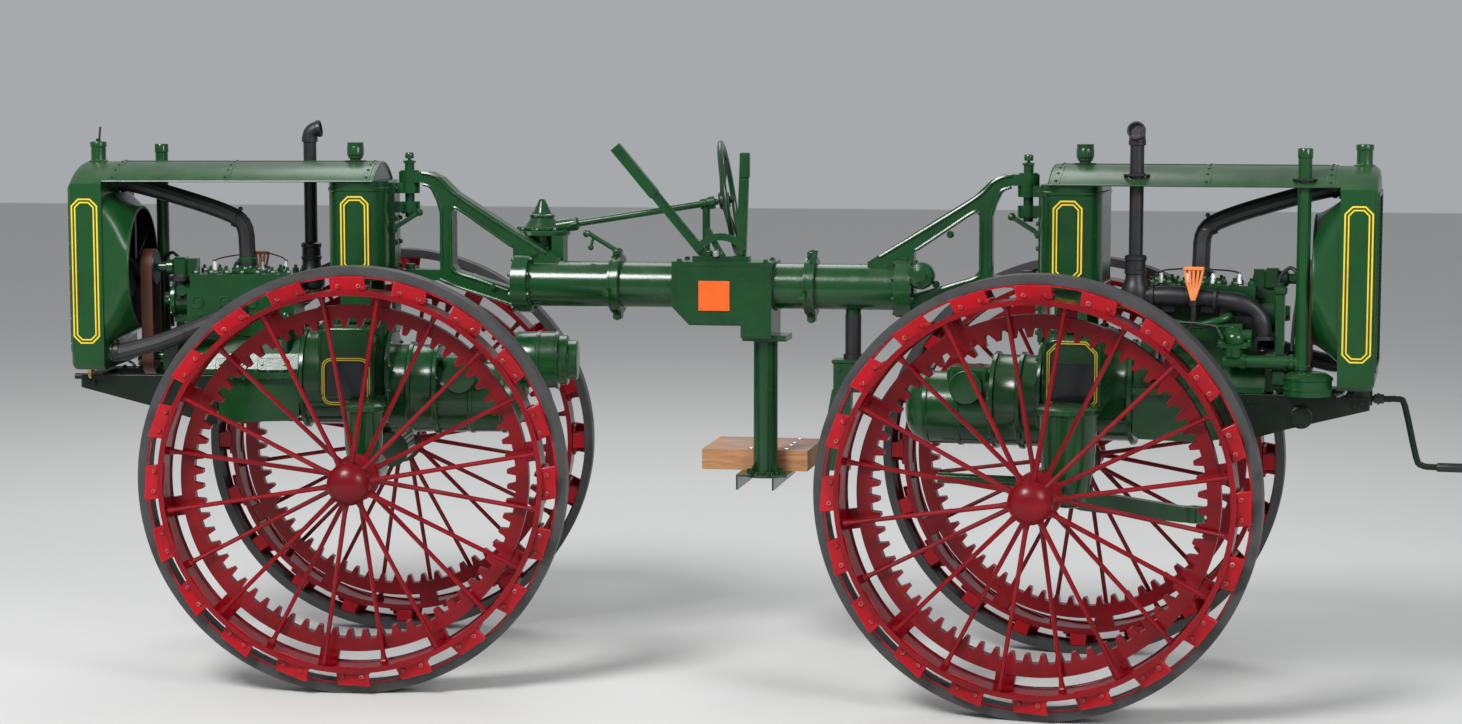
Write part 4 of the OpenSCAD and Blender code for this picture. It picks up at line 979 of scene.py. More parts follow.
def exhaust_pieces(unit):
    """Exhaust stack with its elbow, and the manifold along the head."""
    body = f"{unit}_unit"
    x, y = EXHAUST_AT
    stack = lathe([(0.030, 1.246), (0.038, 1.252), (0.044, 1.262), (0.044, 1.304), (0.038, 1.320),
                   (0.032, 1.334), (0.031, 1.350), (0.0345, 1.352), (0.0345, 1.362), (0.0315, 1.365),
                   (0.0315, 1.392), (0.0345, 1.395), (0.0345, 1.406), (0.030, 1.410), (0.022, 1.412),
                   (0.022, 1.752), (0.027, 1.754), (0.027, 1.770), (0.025, 1.772)], (x, y, 0),
                   (0, 0, 1), 32)
    # short elbow: its mouth faces the tail on the left unit and outwards on the right one
    way = np.array([-1.0, 0, 0]) if unit == "left" else np.array([0, -1.0, 0])
    lean = np.linspace(0, math.radians(80), 9)
    route = np.array([x, y, 1.768]) + 0.030 * ((1 - np.cos(lean))[:, None] * way + np.sin(lean)[:, None] * UP)
    out = math.sin(lean[-1]) * way + math.cos(lean[-1]) * UP
    elbow = pipe(route, 0.0255, 28, side=np.cross(way, UP))
    mouth = lathe([(0.0255, -0.002), (0.0290, 0.001), (0.0290, 0.013), (0.0275, 0.0145), (0.0235, 0.0145),
                   (0.0225, 0.013), (0.0225, 0.001), (0.001, 0.001)], route[-1], out, 28)
    path = [(x - 0.028, y, 1.282), (x + 0.02, y, 1.283), (0.350, y, 1.284), (0.455, y, 1.280),
            (0.545, y, 1.272), (0.600, y, 1.257), (0.632, y, 1.232), (0.646, y, 1.198), (0.650, y, 1.160)]
    route = smooth_path(path, 6)
    along = np.linspace(0, 1, len(route))
    manifold = pipe(route, 0.031 - 0.006 * along + 0.0025 * np.cos(along * 7 * np.pi), 20, side=(0, 1, 0))
    ports = [block((at - 0.024, y + 0.004, 1.228), (at + 0.024, -0.0955, 1.262),
                   0.006) for at in (0.355, 0.475, 0.595)]
    flanges = [block((at - 0.034, -0.108, 1.220), (at + 0.034, -0.0965, 1.268),
                     0.003) for at in (0.355, 0.475, 0.595)]
    nuts = bolts([(at + side * 0.027, -0.108, 1.2435) for at in (0.355, 0.475, 0.595) for side in (-1, 1)],
                 (0, -1, 0), 0.014, 0.009)
    rings = [lathe([(0.028, -0.006), (0.037, -0.005), (0.037, 0.005), (0.028, 0.006)], (at, y, z),
                   (1, 0, lean_), 24)
             for at, z, lean_ in ((0.305, 1.284, 0), (0.500, 1.277, -0.06))]
    end = lathe([(0.026, -0.004), (0.038, -0.004), (0.038, 0.007), (0.026, 0.007)], (0.650, y, 1.160),
                (0, 0, -1), 24)
    whole = piece(f"{unit}_exhaust_pipe",
                  [stack, elbow, mouth, manifold, nuts, end] + ports + flanges + rings, FINISH["iron"],
                  body, unit)
    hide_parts(f"{unit}_exhaust")


def intake_pieces(unit):
    """Air pipe's cap and elbows, round cleaner, carburettor and water pipe."""
    body = f"{unit}_unit"
    x, y = AIR_PIPE_AT
    cap = lathe([(0.0213, 1.716), (0.0232, 1.718), (0.0232, 1.743), (0.021, 1.7465), (0.001, 1.7468)],
                (x, y, 0), (0, 0, 1), 28)
    elbow = [lathe([(0.0215, 1.062), (0.0265, 1.064), (0.0265, 1.076), (0.0215, 1.078)], (x, y, 0),
                   (0, 0, 1), 24),
             lathe([(0.0205, 0), (0.0255, 0.002), (0.0255, 0.014), (0.0205, 0.016)], (x - 0.022, y, 1.085),
                   (-1, 0, 0), 24),
             lathe([(0.0205, 0), (0.0250, 0.002), (0.0250, 0.016), (0.0205, 0.018)], (0.600, y, 1.085),
                   (-1, 0, 0), 24)]
    # round cleaner: belt, lid and its wing nut
    bowl = [lathe([(0.074, 1.000), (0.0765, 1.002), (0.0765, 1.008), (0.074, 1.010)], (x + 0.02, y, 0),
                  (0, 0, 1), 48),
            lathe([(0.074, 1.032), (0.0775, 1.034), (0.0775, 1.041), (0.060, 1.0525), (0.046, 1.0568)],
                  (x + 0.02, y, 0), (0, 0, 1), 48)]
    wings = bolts([(x + 0.02 + 0.055 * math.cos(a), y + 0.055 * math.sin(a),
                    1.0465) for a in (0.6, 2.7, 4.8)], (0, 0, 1), 0.011, 0.008)
    # carburettor: domed chamber over its bar, and its levers
    dome = lathe([(0.030, 1.142), (0.034, 1.146), (0.034, 1.158), (0.031, 1.170), (0.022, 1.180),
                  (0.010, 1.1845), (0.001, 1.185)], (0.5655, y - 0.008, 0), (0, 0, 1), 28)
    bar = [block((0.512, y - 0.026, 1.130), (0.616, y + 0.026, 1.146), 0.004),
           lathe([(0.028, 1.098), (0.032, 1.101), (0.032, 1.128), (0.028, 1.131)], (0.560, y, 0), (0, 0, 1),
                 24),
           lathe([(0.020, 0), (0.020, 0.030), (0.014, 0.032)], (0.586, y - 0.002, 1.165), (1, 0, 0), 20),
           line_between((0.530, y - 0.020, 1.160), (0.530, y - 0.052, 1.160), 0.004, 8),
           line_between((0.530, y - 0.050, 1.160), (0.512, y - 0.050, 1.196), 0.0035, 8)]
    throttle = bend([(0.512, y - 0.050, 1.196), (0.44, y - 0.040, 1.206), (0.34, y - 0.025, 1.204),
                     (0.27, y - 0.02, 1.196)], 0.0026, 8, 4)
    piece(f"{unit}_throttle_rod", [throttle], FINISH["iron"], body, unit)
    bar_bolts = bolts([(0.520, y - 0.016, 1.146), (0.608, y - 0.016, 1.146)], (0, 0, 1), 0.010, 0.007)
    # water pipe along the head, under the manifold
    water = bend([(0.300, -0.110, 1.200), (0.318, -0.160, 1.200), (0.390, -0.166, 1.194),
                  (0.460, -0.166, 1.197), (0.515, -0.162, 1.210), (0.545, -0.140, 1.224),
                  (0.552, -0.104, 1.228)], 0.0130, 14, 6)
    piece(f"{unit}_intake_trim", [cap, dome, water, wings, bar_bolts] + elbow + bowl + bar, FINISH["green"],
          body, unit)


def hose_pieces(unit):
    """Clamps on the radiator hoses and the water outlet on the head."""
    body = f"{unit}_unit"
    upper = [((0.852, 0.02, 1.618), (1, 0, 0)), ((0.474, 0.014, 1.499), (0.9, 0.1, 0.42)),
             ((OUTLET_X, 0, 1.346), (0, 0, 1))]
    lower = [((0.852, 0.15, 1.059), (1, 0, -0.05)), ((0.452, 0.107, 1.1895), (0, 1, 0))]
    clamps = [hose_clamp(at, along, 0.0284) for at, along in upper + lower]
    piece(f"{unit}_hose_clamps", clamps, FINISH["iron"], body, unit)
    outlet = moved(slab(rectangle(0.100, 0.078, 0.020, 4), 0, 0.010, 0.002),
                   lambda p: p + [OUTLET_X, 0, 1.3142])
    neck = lathe([(0.040, 1.324), (0.034, 1.328), (0.0305, 1.334), (0.0305, 1.364), (0.0285, 1.366)],
                 (OUTLET_X, 0, 0), (0, 0, 1), 28)
    nuts = bolts([(OUTLET_X + s * 0.038, 0, 1.3242) for s in (-1, 1)], (0, 0, 1), 0.014, 0.009)
    piece(f"{unit}_water_outlet", [outlet, neck, nuts], FINISH["green"], body, unit)


def engine_pieces(unit):
    """Studs, covers, plugs, pump and bracket that dress the engine block."""
    body = f"{unit}_unit"
    # studs over the head, in three rows, and ribs between them
    stud = joined([lathe([(0.0115, 0), (0.0115, 0.011), (0.0095, 0.014), (0.0055, 0.0145), (0.0055, 0.024),
                          (0.001, 0.025)], along=(0, 0, 1), segments=6)])
    places = np.array([(x, y, HEAD_TOP) for x in np.linspace(0.292, 0.604, 7) for y in (-0.072, 0.072)]
                      + [(x, 0.0, HEAD_TOP) for x in (0.318, 0.370, 0.514, 0.566)])
    studs = copies(stud, np.broadcast_to(np.eye(3), (len(places), 3, 3)), places)
    ribs = [block((x - 0.004, -0.084, 1.3135), (x + 0.004, 0.084, 1.3185), 0.0015) for x in (0.344, 0.396,
                                                                                             0.488, 0.540)]
    lip = [block((0.2765, -0.0885, 1.268), (0.6195, 0.0885, 1.273), 0.001)]
    # side of the block: core plugs, tappet covers and their screws
    plugs = [lathe([(0.021, 0), (0.021, 0.004), (0.017, 0.005), (0.015, 0.002), (0.001, 0.0015)],
                   (x, 0.095, 1.222), (0, 1, 0), 24)
             for x in (0.320, 0.410, 0.500, 0.590)]
    cover = on_plane(slab(rectangle(0.300, 0.082, 0.012, 4), 0, 0.007, 0.002), (0.448, 0.095, 1.148),
                     (-1, 0, 0), (0, 0, 1))
    cover_bolts = bolts([(x, 0.102, z) for x in (0.312, 0.402, 0.494, 0.584) for z in (1.117, 1.179)],
                        (0, 1, 0), 0.012, 0.006)
    hand_covers = []
    for side in (-1, 1):
        base = np.array([0, side * 0.1455, 1.0165])
        for x in (0.330, 0.470):
            hand_covers.append(on_plane(slab(rectangle(0.108, 0.044, 0.016, 4), -0.002, 0.006, 0.002),
                                        base + [x, 0, 0], (-side, 0, 0), (0, side * -0.37, 0.93)))
            hand_covers.append(bolts([base + [x + dx, 0, 0] for dx in (-0.038, 0.038)],
                                     (0, side * 0.93, 0.37), 0.011, 0.012))
    flange_bolts = [bolts(row_of((0.262, s * 0.157, 0.992), (0.510, s * 0.157, 0.992), 7), (0, 0, 1), 0.013,
                          0.008) for s in (-1, 1)]
    pan_bolts = [bolts(row_of((0.262, s * 0.157, 0.972), (0.510, s * 0.157, 0.972), 7), (0, 0, -1), 0.012,
                       0.006) for s in (-1, 1)]
    drain = lathe([(0.016, 0), (0.016, 0.006), (0.012, 0.008), (0.012, 0.016), (0.001, 0.017)],
                  (0.300, 0, 0.8265), (0, 0, -1), 6)
    breather = [bend([(0.290, 0.122, 1.060), (0.290, 0.134, 1.100), (0.288, 0.136, 1.160)], 0.013, 14, 5),
                lathe([(0.019, 1.158), (0.021, 1.161), (0.021, 1.182), (0.017, 1.190), (0.001, 1.192)],
                      (0.288, 0.136, 0), (0, 0, 1), 20)]
    timing = [on_plane(slab(rectangle(0.210, 0.100, 0.030, 5), 0, 0.006, 0.002), (0.704, 0, 1.044),
                       (0, 1, 0), (0, 0, 1)),
              bolts([(0.710, y, z) for y in (-0.09, -0.03, 0.03, 0.09) for z in (1.002, 1.086)], (1, 0, 0),
                    0.012, 0.006),
              lathe([(0.040, 0.703), (0.036, 0.714), (0.028, 0.718), (0.024, 0.722)], (0, 0, 1.030),
                    (1, 0, 0), 28)]
    piece(f"{unit}_engine_trim",
          [studs, cover, cover_bolts, drain] + ribs + lip + plugs + hand_covers + flange_bolts + pan_bolts
          + breather + timing, FINISH["green"], body, unit)
    # water pump with its gland, and the arm that carries the fan
    pump = [lathe([(0.058, 0.606), (0.062, 0.610), (0.062, 0.622), (0.057, 0.626)], (0, 0, 1.225),
                  (1, 0, 0), 32),
            lathe([(0.058, 0.676), (0.062, 0.680), (0.062, 0.692), (0.050, 0.698), (0.026, 0.704),
                   (0.024, 0.722), (0.001, 0.723)], (0, 0, 1.225), (1, 0, 0), 32),
            bolt_ring((0.6925, 0, 1.225), (1, 0, 0), 0.052, 6, 0.012, 0.007),
            block((0.640, -0.034, 1.300), (0.690, 0.034, 1.368), 0.008),
            lathe([(0.022, 0.690), (0.026, 0.693), (0.026, 0.712), (0.019, 0.716)], (0, 0, FAN_Z),
                  (1, 0, 0), 24),
            lathe([(0.026, 0), (0.026, 0.030), (0.018, 0.036), (0.018, 0.052), (0.001, 0.053)],
                  (0.648, 0.03, 1.260), (0, 1, 0), 20)]
    dark = [lathe([(0.026, 1.288), (0.031, 1.291), (0.031, 1.306), (0.018, 1.311), (0.001, 1.312)],
                  (0.660, 0.062, 0), (0, 0, 1), 24),
            line_between((0.660, 0.062, 1.232), (0.660, 0.062, 1.290), 0.014, 14)]
    piece(f"{unit}_pump_trim", pump, FINISH["green"], body, unit)
    piece(f"{unit}_pump_cap", dark, FINISH["iron"], body, unit)
    # front bracket's foot and head bolts
    bracket = [block((0.676, -0.158, 1.008), (0.722, -0.098, 1.060), 0.006),
               block((0.680, -0.156, 1.292), (0.719, -0.102, 1.316), 0.005)]
    bracket_bolts = [bolts([(0.688, -0.158, 1.022), (0.711, -0.158, 1.046), (0.699, -0.156, 1.304)],
                           (0, -1, 0), 0.012, 0.006),
                     bolts([(0.699, -0.129, 1.316)], (0, 0, 1), 0.018, 0.012)]
    cable = bend([(0.690, -0.120, 1.318), (0.700, -0.122, 1.352), (0.728, -0.130, 1.376),
                  (0.752, -0.142, 1.350), (0.752, -0.150, 1.290), (0.742, -0.156, 1.200),
                  (0.738, -0.160, 1.120)], 0.006, 10, 6)
    piece(f"{unit}_front_bracket", bracket + bracket_bolts, FINISH["green"], body, unit)
    piece(f"{unit}_front_cable", [cable], FINISH["hose"], body, unit)


def ignition_pieces(unit):
    """Spark plugs in the head, the comb that spaces the leads, and the loom they run into."""
    body = f"{unit}_unit"
    tops = [(0.322, -0.060), (0.404, -0.060), (0.486, -0.060), (0.566, -0.060)]
    china = [lathe([(0.0085, 1.317), (0.0085, 1.327), (0.0065, 1.331), (0.0065, 1.347), (0.004, 1.351)],
                   (x, y, 0), (0, 0, 1), 14)
             for x, y in tops]
    shells = [lathe([(0.014, 1.304), (0.014, 1.3165), (0.010, 1.3195)], (x, y, 0), (0, 0, 1), 6) for x,
              y in tops]
    ends = [lathe([(0.0038, 1.349), (0.0058, 1.351), (0.0058, 1.357), (0.001, 1.358)], (x, y, 0), (0, 0, 1),
                  10) for x, y in tops]
    piece(f"{unit}_plug_china", china, FINISH["china"], body, unit)
    piece(f"{unit}_plug_shells", shells + ends, FINISH["steel"], body, unit)
    comb_z, foot = 1.372, np.array([0.436, -0.196, 1.262])
    comb = block((0.403, -0.192, comb_z - 0.006), (0.469, -0.179, comb_z + 0.006), 0.003)
    spread = np.linspace(0.408, 0.464, 5)
    fan_out = [bend([(at, -0.1855, comb_z - 0.004), (at * 0.75 + foot[0] * 0.25, -0.188, comb_z - 0.040),
                     (at * 0.3 + foot[0] * 0.7, -0.193, comb_z - 0.082), foot], 0.0042, 8,
                    5) for at in spread]
    piece(f"{unit}_plug_leads", [comb] + fan_out, FINISH["wire"], body, unit)
    leads = [bend([(at, -0.180, comb_z), (at * 0.7 + x * 0.3, -0.150, comb_z - 0.004),
                   (at * 0.25 + x * 0.75, -0.095, comb_z - 0.010), (x, y, 1.354)], 0.0026, 8, 5) for at,
                   (x, y) in zip(spread[[0, 1, 3, 4]], tops)]
    piece(f"{unit}_plug_cables", leads, FINISH["hose"], body, unit)
    loom = [bend([foot + [0, 0, 0.006], foot + [0.002, 0, -0.030], (0.430, -0.190, 1.200),
                  (0.400, -0.180, 1.150), (0.360, -0.166, 1.105)], 0.0085, 10, 5),
            lathe([(0.011, -0.006), (0.013, -0.004), (0.013, 0.010), (0.011, 0.012)], foot, (0, 0, 1), 14)]
    # magneto beside the crankcase: body, arched magnets and its cap
    magneto = [block((0.300, -0.184, 1.020), (0.392, -0.124, 1.040), 0.004),
               lathe([(0.034, 0.306), (0.036, 0.309), (0.036, 0.383), (0.034, 0.386)], (0, -0.156, 1.074),
                     (1, 0, 0), 28)]
    arch = np.linspace(0, np.pi, 15)
    curve = np.column_stack([np.zeros(15), -0.156 + 0.040 * np.cos(arch), 1.078 + 0.046 * np.sin(arch)])
    for x in (0.326, 0.346, 0.366):
        magneto.append(pipe(curve + [x, 0, 0], 0.008, 8, side=(1, 0, 0)))
    piece(f"{unit}_ignition_loom", loom + magneto, FINISH["iron"], body, unit)


def fan_pieces(unit):
    """Hub cap, blade rivets and pulley rims, which turn with the fan."""
    body = f"{unit}_fan_rotor"
    blades = np.arange(6) * np.pi / 3
    hub = [lathe([(0.038, 0.843), (0.034, 0.850), (0.022, 0.853), (0.018, 0.862), (0.001, 0.863)],
                 (0, 0, FAN_Z), (1, 0, 0), 28),
           bolt_ring((0.844, 0, FAN_Z), (1, 0, 0), 0.027, 4, 0.010, 0.005)]
    rivets = [bolts([(0.832, -0.052 * math.sin(a) * 1.2, FAN_Z + 0.052 * math.cos(a) * 1.2)], (1, 0, 0),
                    0.010, 0.012) for a in blades]
    piece(f"{unit}_fan_trim", hub + rivets, FINISH["iron"], body, unit)
    rims = [hoop(ring_section(0.0545, 0.0585, x, x + 0.003), (0, 0, FAN_Z), (1, 0, 0),
                 40) for x in (0.7497, 0.7913)]
    piece(f"{unit}_fan_pulley_rims", rims, FINISH["iron"], body, unit)


# The gear case's two sides: hand, middle and height of the recess; then of the drop housing its place, its
# radii below and above, and the height of its top
CASE_SIDES = ((-1, 1.030, 0.212, 0.071, 0.080, 0.103, 0.944), (1, 0.972, 0.142, 0.0, 0.058, 0.075, 0.905))
AXLE_Z, MAIN_Z, BELL_Z, NECK_Z = 0.685, 0.962, 0.925, 0.895


def side_case(mid, tall):
    """Side case with its recess, in x, z and distance out: a round-cornered outline carried out, drawn in
    round a quarter circle, then clamped to the recess's rectangle and back to its floor."""
    outline = rectangle(0.186, 0.250, 0.048, 7) + [0.070, 1.030]
    lean = np.linspace(0, np.pi / 2, 6)
    edge = 0.018
    stations = [(0.120, 0.0)] + list(zip(0.252 - edge + edge * np.sin(lean), edge - edge * np.cos(lean)))
    rows = [np.column_stack([inset(outline, draw), np.full(len(outline), out)]) for out, draw in stations]
    floor = np.clip(inset(outline, edge), [-0.004, mid - tall / 2], [0.144, mid + tall / 2])
    rows += [np.column_stack([floor, np.full(len(floor), out)]) for out in (0.252, 0.244)]
    return capped(np.array(rows))


def gearbox_pieces(unit):
    """Rounded gear case in place of the plain one, with its painted panels."""
    body = f"{unit}_unit"
    forward = (1, 0, 0)
    case = [lathe([(0.150, -0.060), (0.168, -0.058), (0.170, -0.054), (0.170, -0.044), (0.161, -0.040),
                   (0.158, -0.030), (0.158, 0.218), (0.161, 0.228), (0.170, 0.231), (0.170, 0.243),
                   (0.166, 0.246)],
                  (0, 0, MAIN_Z), forward, 80),
            lathe([(0.130, -0.214), (0.156, -0.212), (0.158, -0.209), (0.158, -0.199), (0.150, -0.194),
                   (0.148, -0.186), (0.148, -0.134), (0.150, -0.127), (0.158, -0.124), (0.158, -0.113),
                   (0.150, -0.108), (0.148, -0.100), (0.148, -0.050)], (0, 0, BELL_Z), forward, 72),
            lathe([(0.020, -0.500), (0.062, -0.498), (0.080, -0.490), (0.098, -0.474), (0.110, -0.456),
                   (0.117, -0.436), (0.122, -0.434), (0.122, -0.422), (0.118, -0.418), (0.118, -0.330),
                   (0.122, -0.327), (0.122, -0.316), (0.118, -0.312), (0.118, -0.205)],
                   (0, 0, NECK_Z), forward, 64),
            slab(rectangle(0.232, 0.220, 0.050, 6) + [0.073, 0], 1.040, 1.158, 0.016),
            slab(rectangle(0.150, 0.190, 0.020, 4) + [0.070, 0], 1.156, 1.167, 0.003),
            bolts([(x, y, 1.167) for x in (0.005, 0.070, 0.135) for y in (-0.084, 0.084)], (0, 0, 1), 0.014,
                  0.008),
            lathe([(0.030, -0.1415), (0.052, -0.1395), (0.054, -0.136), (0.054, -0.124), (0.048, -0.120),
                   (0.048, 0.120), (0.054, 0.124), (0.054, 0.136), (0.052, 0.1395), (0.030, 0.1415)],
                   (-0.288, 0, 0.975), (0, 1, 0), 36),
            slab(rectangle(0.150, 0.150, 0.030, 5) + [-0.290, 0], NECK_Z, 1.034, 0.010),
            bolt_ring((-0.058, 0, MAIN_Z), (-1, 0, 0), 0.1635, 12, 0.012, 0.007, 0.2),
            bolt_ring((-0.212, 0, BELL_Z), (-1, 0, 0), 0.152, 12, 0.011, 0.006, 0.2)]
    # ribs along the main case
    turn = np.radians([100, 125, 150, 210, 235])
    for angle in np.concatenate([turn, np.pi - turn]):
        y, z = 0.158 * math.cos(angle), MAIN_Z + 0.158 * math.sin(angle)
        if z < 1.04:
            case.append(line_between((-0.045, y, z), (0.235, y, z), 0.006, 8))
    dark, gold = [], []
    for side, mid, tall, drop_x, foot_r, top_r, top_z in CASE_SIDES:
        case.append(side_face(0, side)(side_case(mid, tall)))
        drop = [(foot_r * 0.5, 0.633), (foot_r - 0.030, 0.636), (foot_r - 0.024, 0.644),
                (foot_r - 0.006, 0.720), (foot_r, 0.748), (foot_r + 0.003, 0.770),
                (top_r - 0.010, top_z - 0.026), (top_r - 0.006, top_z - 0.019),
                (top_r, top_z - 0.017), (top_r, top_z - 0.003), (top_r - 0.004, top_z),
                (top_r * 0.55, top_z + 0.010), (0.001, top_z + 0.011)]
        case.append(lathe(drop, (drop_x, side * 0.330, 0), (0, 0, 1), 56))
        case.append(bolt_ring((drop_x, side * 0.330, top_z - 0.001), (0, 0, 1), top_r - 0.009, 10, 0.011,
                              0.006))
        case.append(pipe(row_of((drop_x * 0.5, side * 0.120, 0.880), (drop_x, side * 0.330, 0.850), 4),
                         0.062, 32))
        case.append(lathe([(0.058, 0.225), (0.062, 0.230), (0.062, 0.428), (0.070, 0.431), (0.070, 0.443),
                           (0.064, 0.447), (0.040, 0.448), (0.030, 0.449), (0.030, 0.609)], (0, 0, AXLE_Z),
                           (0, side, 0), 40))
        case.append(bolts([(x, side * 0.2465, z) for x in (-0.013, 0.153) for z in (0.925, 1.135)],
                          (0, side, 0), 0.014, 0.008))
        frame_line = np.array([[-0.010, mid - tall / 2 - 0.007], [0.150, mid - tall / 2 - 0.007],
                               [0.150, mid + tall / 2 + 0.007], [-0.010, mid + tall / 2 + 0.007]])
        outline = rounded(frame_line, 0.036, 2 if side < 0 else 5)
        for draw in (0.0, 0.0066):
            gold.append(side_face(side * 0.2523, side)(line_round(inset(outline, draw), 0.0036, 0.0007)))
        top = mid + tall / 2 - (0.066 if side < 0 else 0.006)
        panel = rounded([[0.004, mid - tall / 2 + 0.006], [0.136, mid - tall / 2 + 0.006], [0.136, top],
                         [0.004, top]], 0.012, 4)
        dark.append(side_face(side * 0.2438, side)(slab(panel, 0, 0.004, 0.001)))
    if unit == "left":
        case.append(lathe([(0.080, -0.462), (0.092, -0.468), (0.095, -0.474), (0.095, -0.540),
                           (0.099, -0.542), (0.099, -0.551), (0.095, -0.553), (0.095, -0.602),
                           (0.099, -0.604), (0.099, -0.612), (0.085, -0.616), (0.084, -0.620),
                           (0.084, -0.640), (0.080, -0.644), (0.067, -0.645), (0.066, -0.650),
                           (0.066, -0.672), (0.062, -0.676), (0.030, -0.6765), (0.001, -0.6765)],
                           (0, 0, 1.022), forward, 64))
        case.append(slab(rectangle(0.110, 0.120, 0.020, 4) + [-0.450, 0], NECK_Z, 1.020, 0.006))
    whole = piece(f"{unit}_gear_case", case, FINISH["green"], body, unit)
    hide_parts(f"{unit}_transmission")
    piece(f"{unit}_gearbox_panels", dark, FINISH["dark_panel"], body, unit)
    piece(f"{unit}_gearbox_gold_lines", gold, FINISH["gold"], body, unit)


def rail_pieces(unit):
    """Bolts, beads and covers on the chassis rails."""
    body = f"{unit}_unit"
    parts = []
    for side in (-1, 1):
        face = side * 0.1503
        parts.append(bolts([(0.952, face, 0.962), (0.930, face, 0.955), (0.632, face, 0.960),
                            (0.606, face, 0.960), (0.546, face, 0.930), (0.546, face, 0.860)],
                            (0, side, 0), 0.016, 0.009))
        parts.append(bead(row_of((0.973, side * 0.149, 0.9795), (0.521, side * 0.149, 0.9795), 4), 0.0025))
        parts.append(bolts([(x, side * 0.130, 0.980) for x in (0.560, 0.84, 0.90)], (0, 0, 1), 0.014,
                           0.008))
    parts.append(lathe([(0.036, 0), (0.036, 0.008), (0.030, 0.011), (0.028, 0.009), (0.001, 0.009)],
                       (0.770, -0.1503, 0.914), (0, -1, 0), 36))
    parts.append(bolt_ring((0.770, -0.1593, 0.914), (0, -1, 0), 0.020, 4, 0.008, 0.003, 0.4, False))
    parts.append(hoop(ring_section(0.0103, 0.022, 0.972, 0.9795), (0, 0, CRANK_Z), (1, 0, 0), 28))
    # rail trim in the darker green of painted shade
    piece(f"{unit}_rail_trim", parts, FINISH["shaded_green"], body, unit)
    nuts = [bolts([(0.690, -0.130, 0.9805), (0.724, -0.130, 0.9805), (0.748, -0.118, 0.9805)], (0, 0, 1),
                  0.016, 0.012),
            bend([(0.872, -0.150, 0.984), (0.880, -0.170, 0.986), (0.902, -0.182, 0.998),
                  (0.902, -0.182, 1.016)], 0.006, 8, 4)]
    piece(f"{unit}_rail_nuts", nuts, FINISH["steel"], body, unit)


def crank_pieces():
    """Grip and pin of the starting crank."""
    tip = lathe([(0.013, 0), (0.0145, 0.004), (0.0145, 0.104), (0.013, 0.108)], (1.180, 0, 0.752),
                (1, 0, 0), 20)
    pin = [line_between((0.998, 0, 0.944), (0.998, 0, 0.980), 0.0035, 8),
           lathe([(0.0103, 0), (0.015, 0.001), (0.015, 0.030), (0.0103, 0.032)],
               (0.984, 0, CRANK_Z), (1, 0, 0), 20)]
    piece("crank_grip", [tip] + pin, FINISH["iron"], "right_unit", "right")


def hitch_pieces(unit):
    """Bolts, washers, wear plates and latch of the hitch bracket."""
    body = f"{unit}_unit"
    x = -0.112
    parts = [bolts([(-0.0697, s * 0.044, z) for s in (-1, 1) for z in (1.150, 1.230, 1.340, 1.420, 1.500,
                                                                       1.600)], (-1, 0, 0), 0.016, 0.009)]
    parts += [hoop(ring_section(0.0165, 0.030, z, z + 0.004), (x, 0, 0), (0, 0, 1),
                   28) for z in (1.6202, 1.5158, 1.2922, 1.2518)]
    for z in (1.566, 1.430):
        parts.append(block((-0.0693, -0.010, z - 0.05), (-0.0600, 0.010, z + 0.05), 0.003))
    side = NEAR_SIDE[unit]
    # slanting latch lever and its knob, on the side that faces the camera
    parts.append(line_between((-0.070, side * 0.066, 1.470), (-0.150, side * 0.072, 1.520), 0.008, 10))
    parts.append(lathe([(0.001, 0), (0.010, 0.003), (0.014, 0.012), (0.010, 0.021), (0.001, 0.024)],
                       (-0.144, side * 0.0716, 1.5163), (-0.85, 0.06 * side, 0.53), 16))
    parts.append(lathe([(0.016, 0), (0.016, 0.012), (0.010, 0.014), (0.001, 0.0145)],
                       (-0.066, side * 0.0605, 1.468), (0, side, 0), 16))
    piece(f"{unit}_hitch_trim", parts, FINISH["green"], body, unit)


# Centre frame, in metres from the tube's middle

TUBE_Z = 1.286                          # height of the tube's axis
POST_X = 0.179                          # the platform post's place
BOARD_TOP = 0.7348                      # height of the boards' tops
PIN_X = 1.037                           # distance from the middle to each hitch pin
STEERING_AT = (-0.611, 0.124)           # the steering gear's place
COLUMN_RUN = (0.631, 0.076)             # from the gear to the steering wheel, along and across
COLUMN_RISE = math.radians(9)           # how steeply it rises


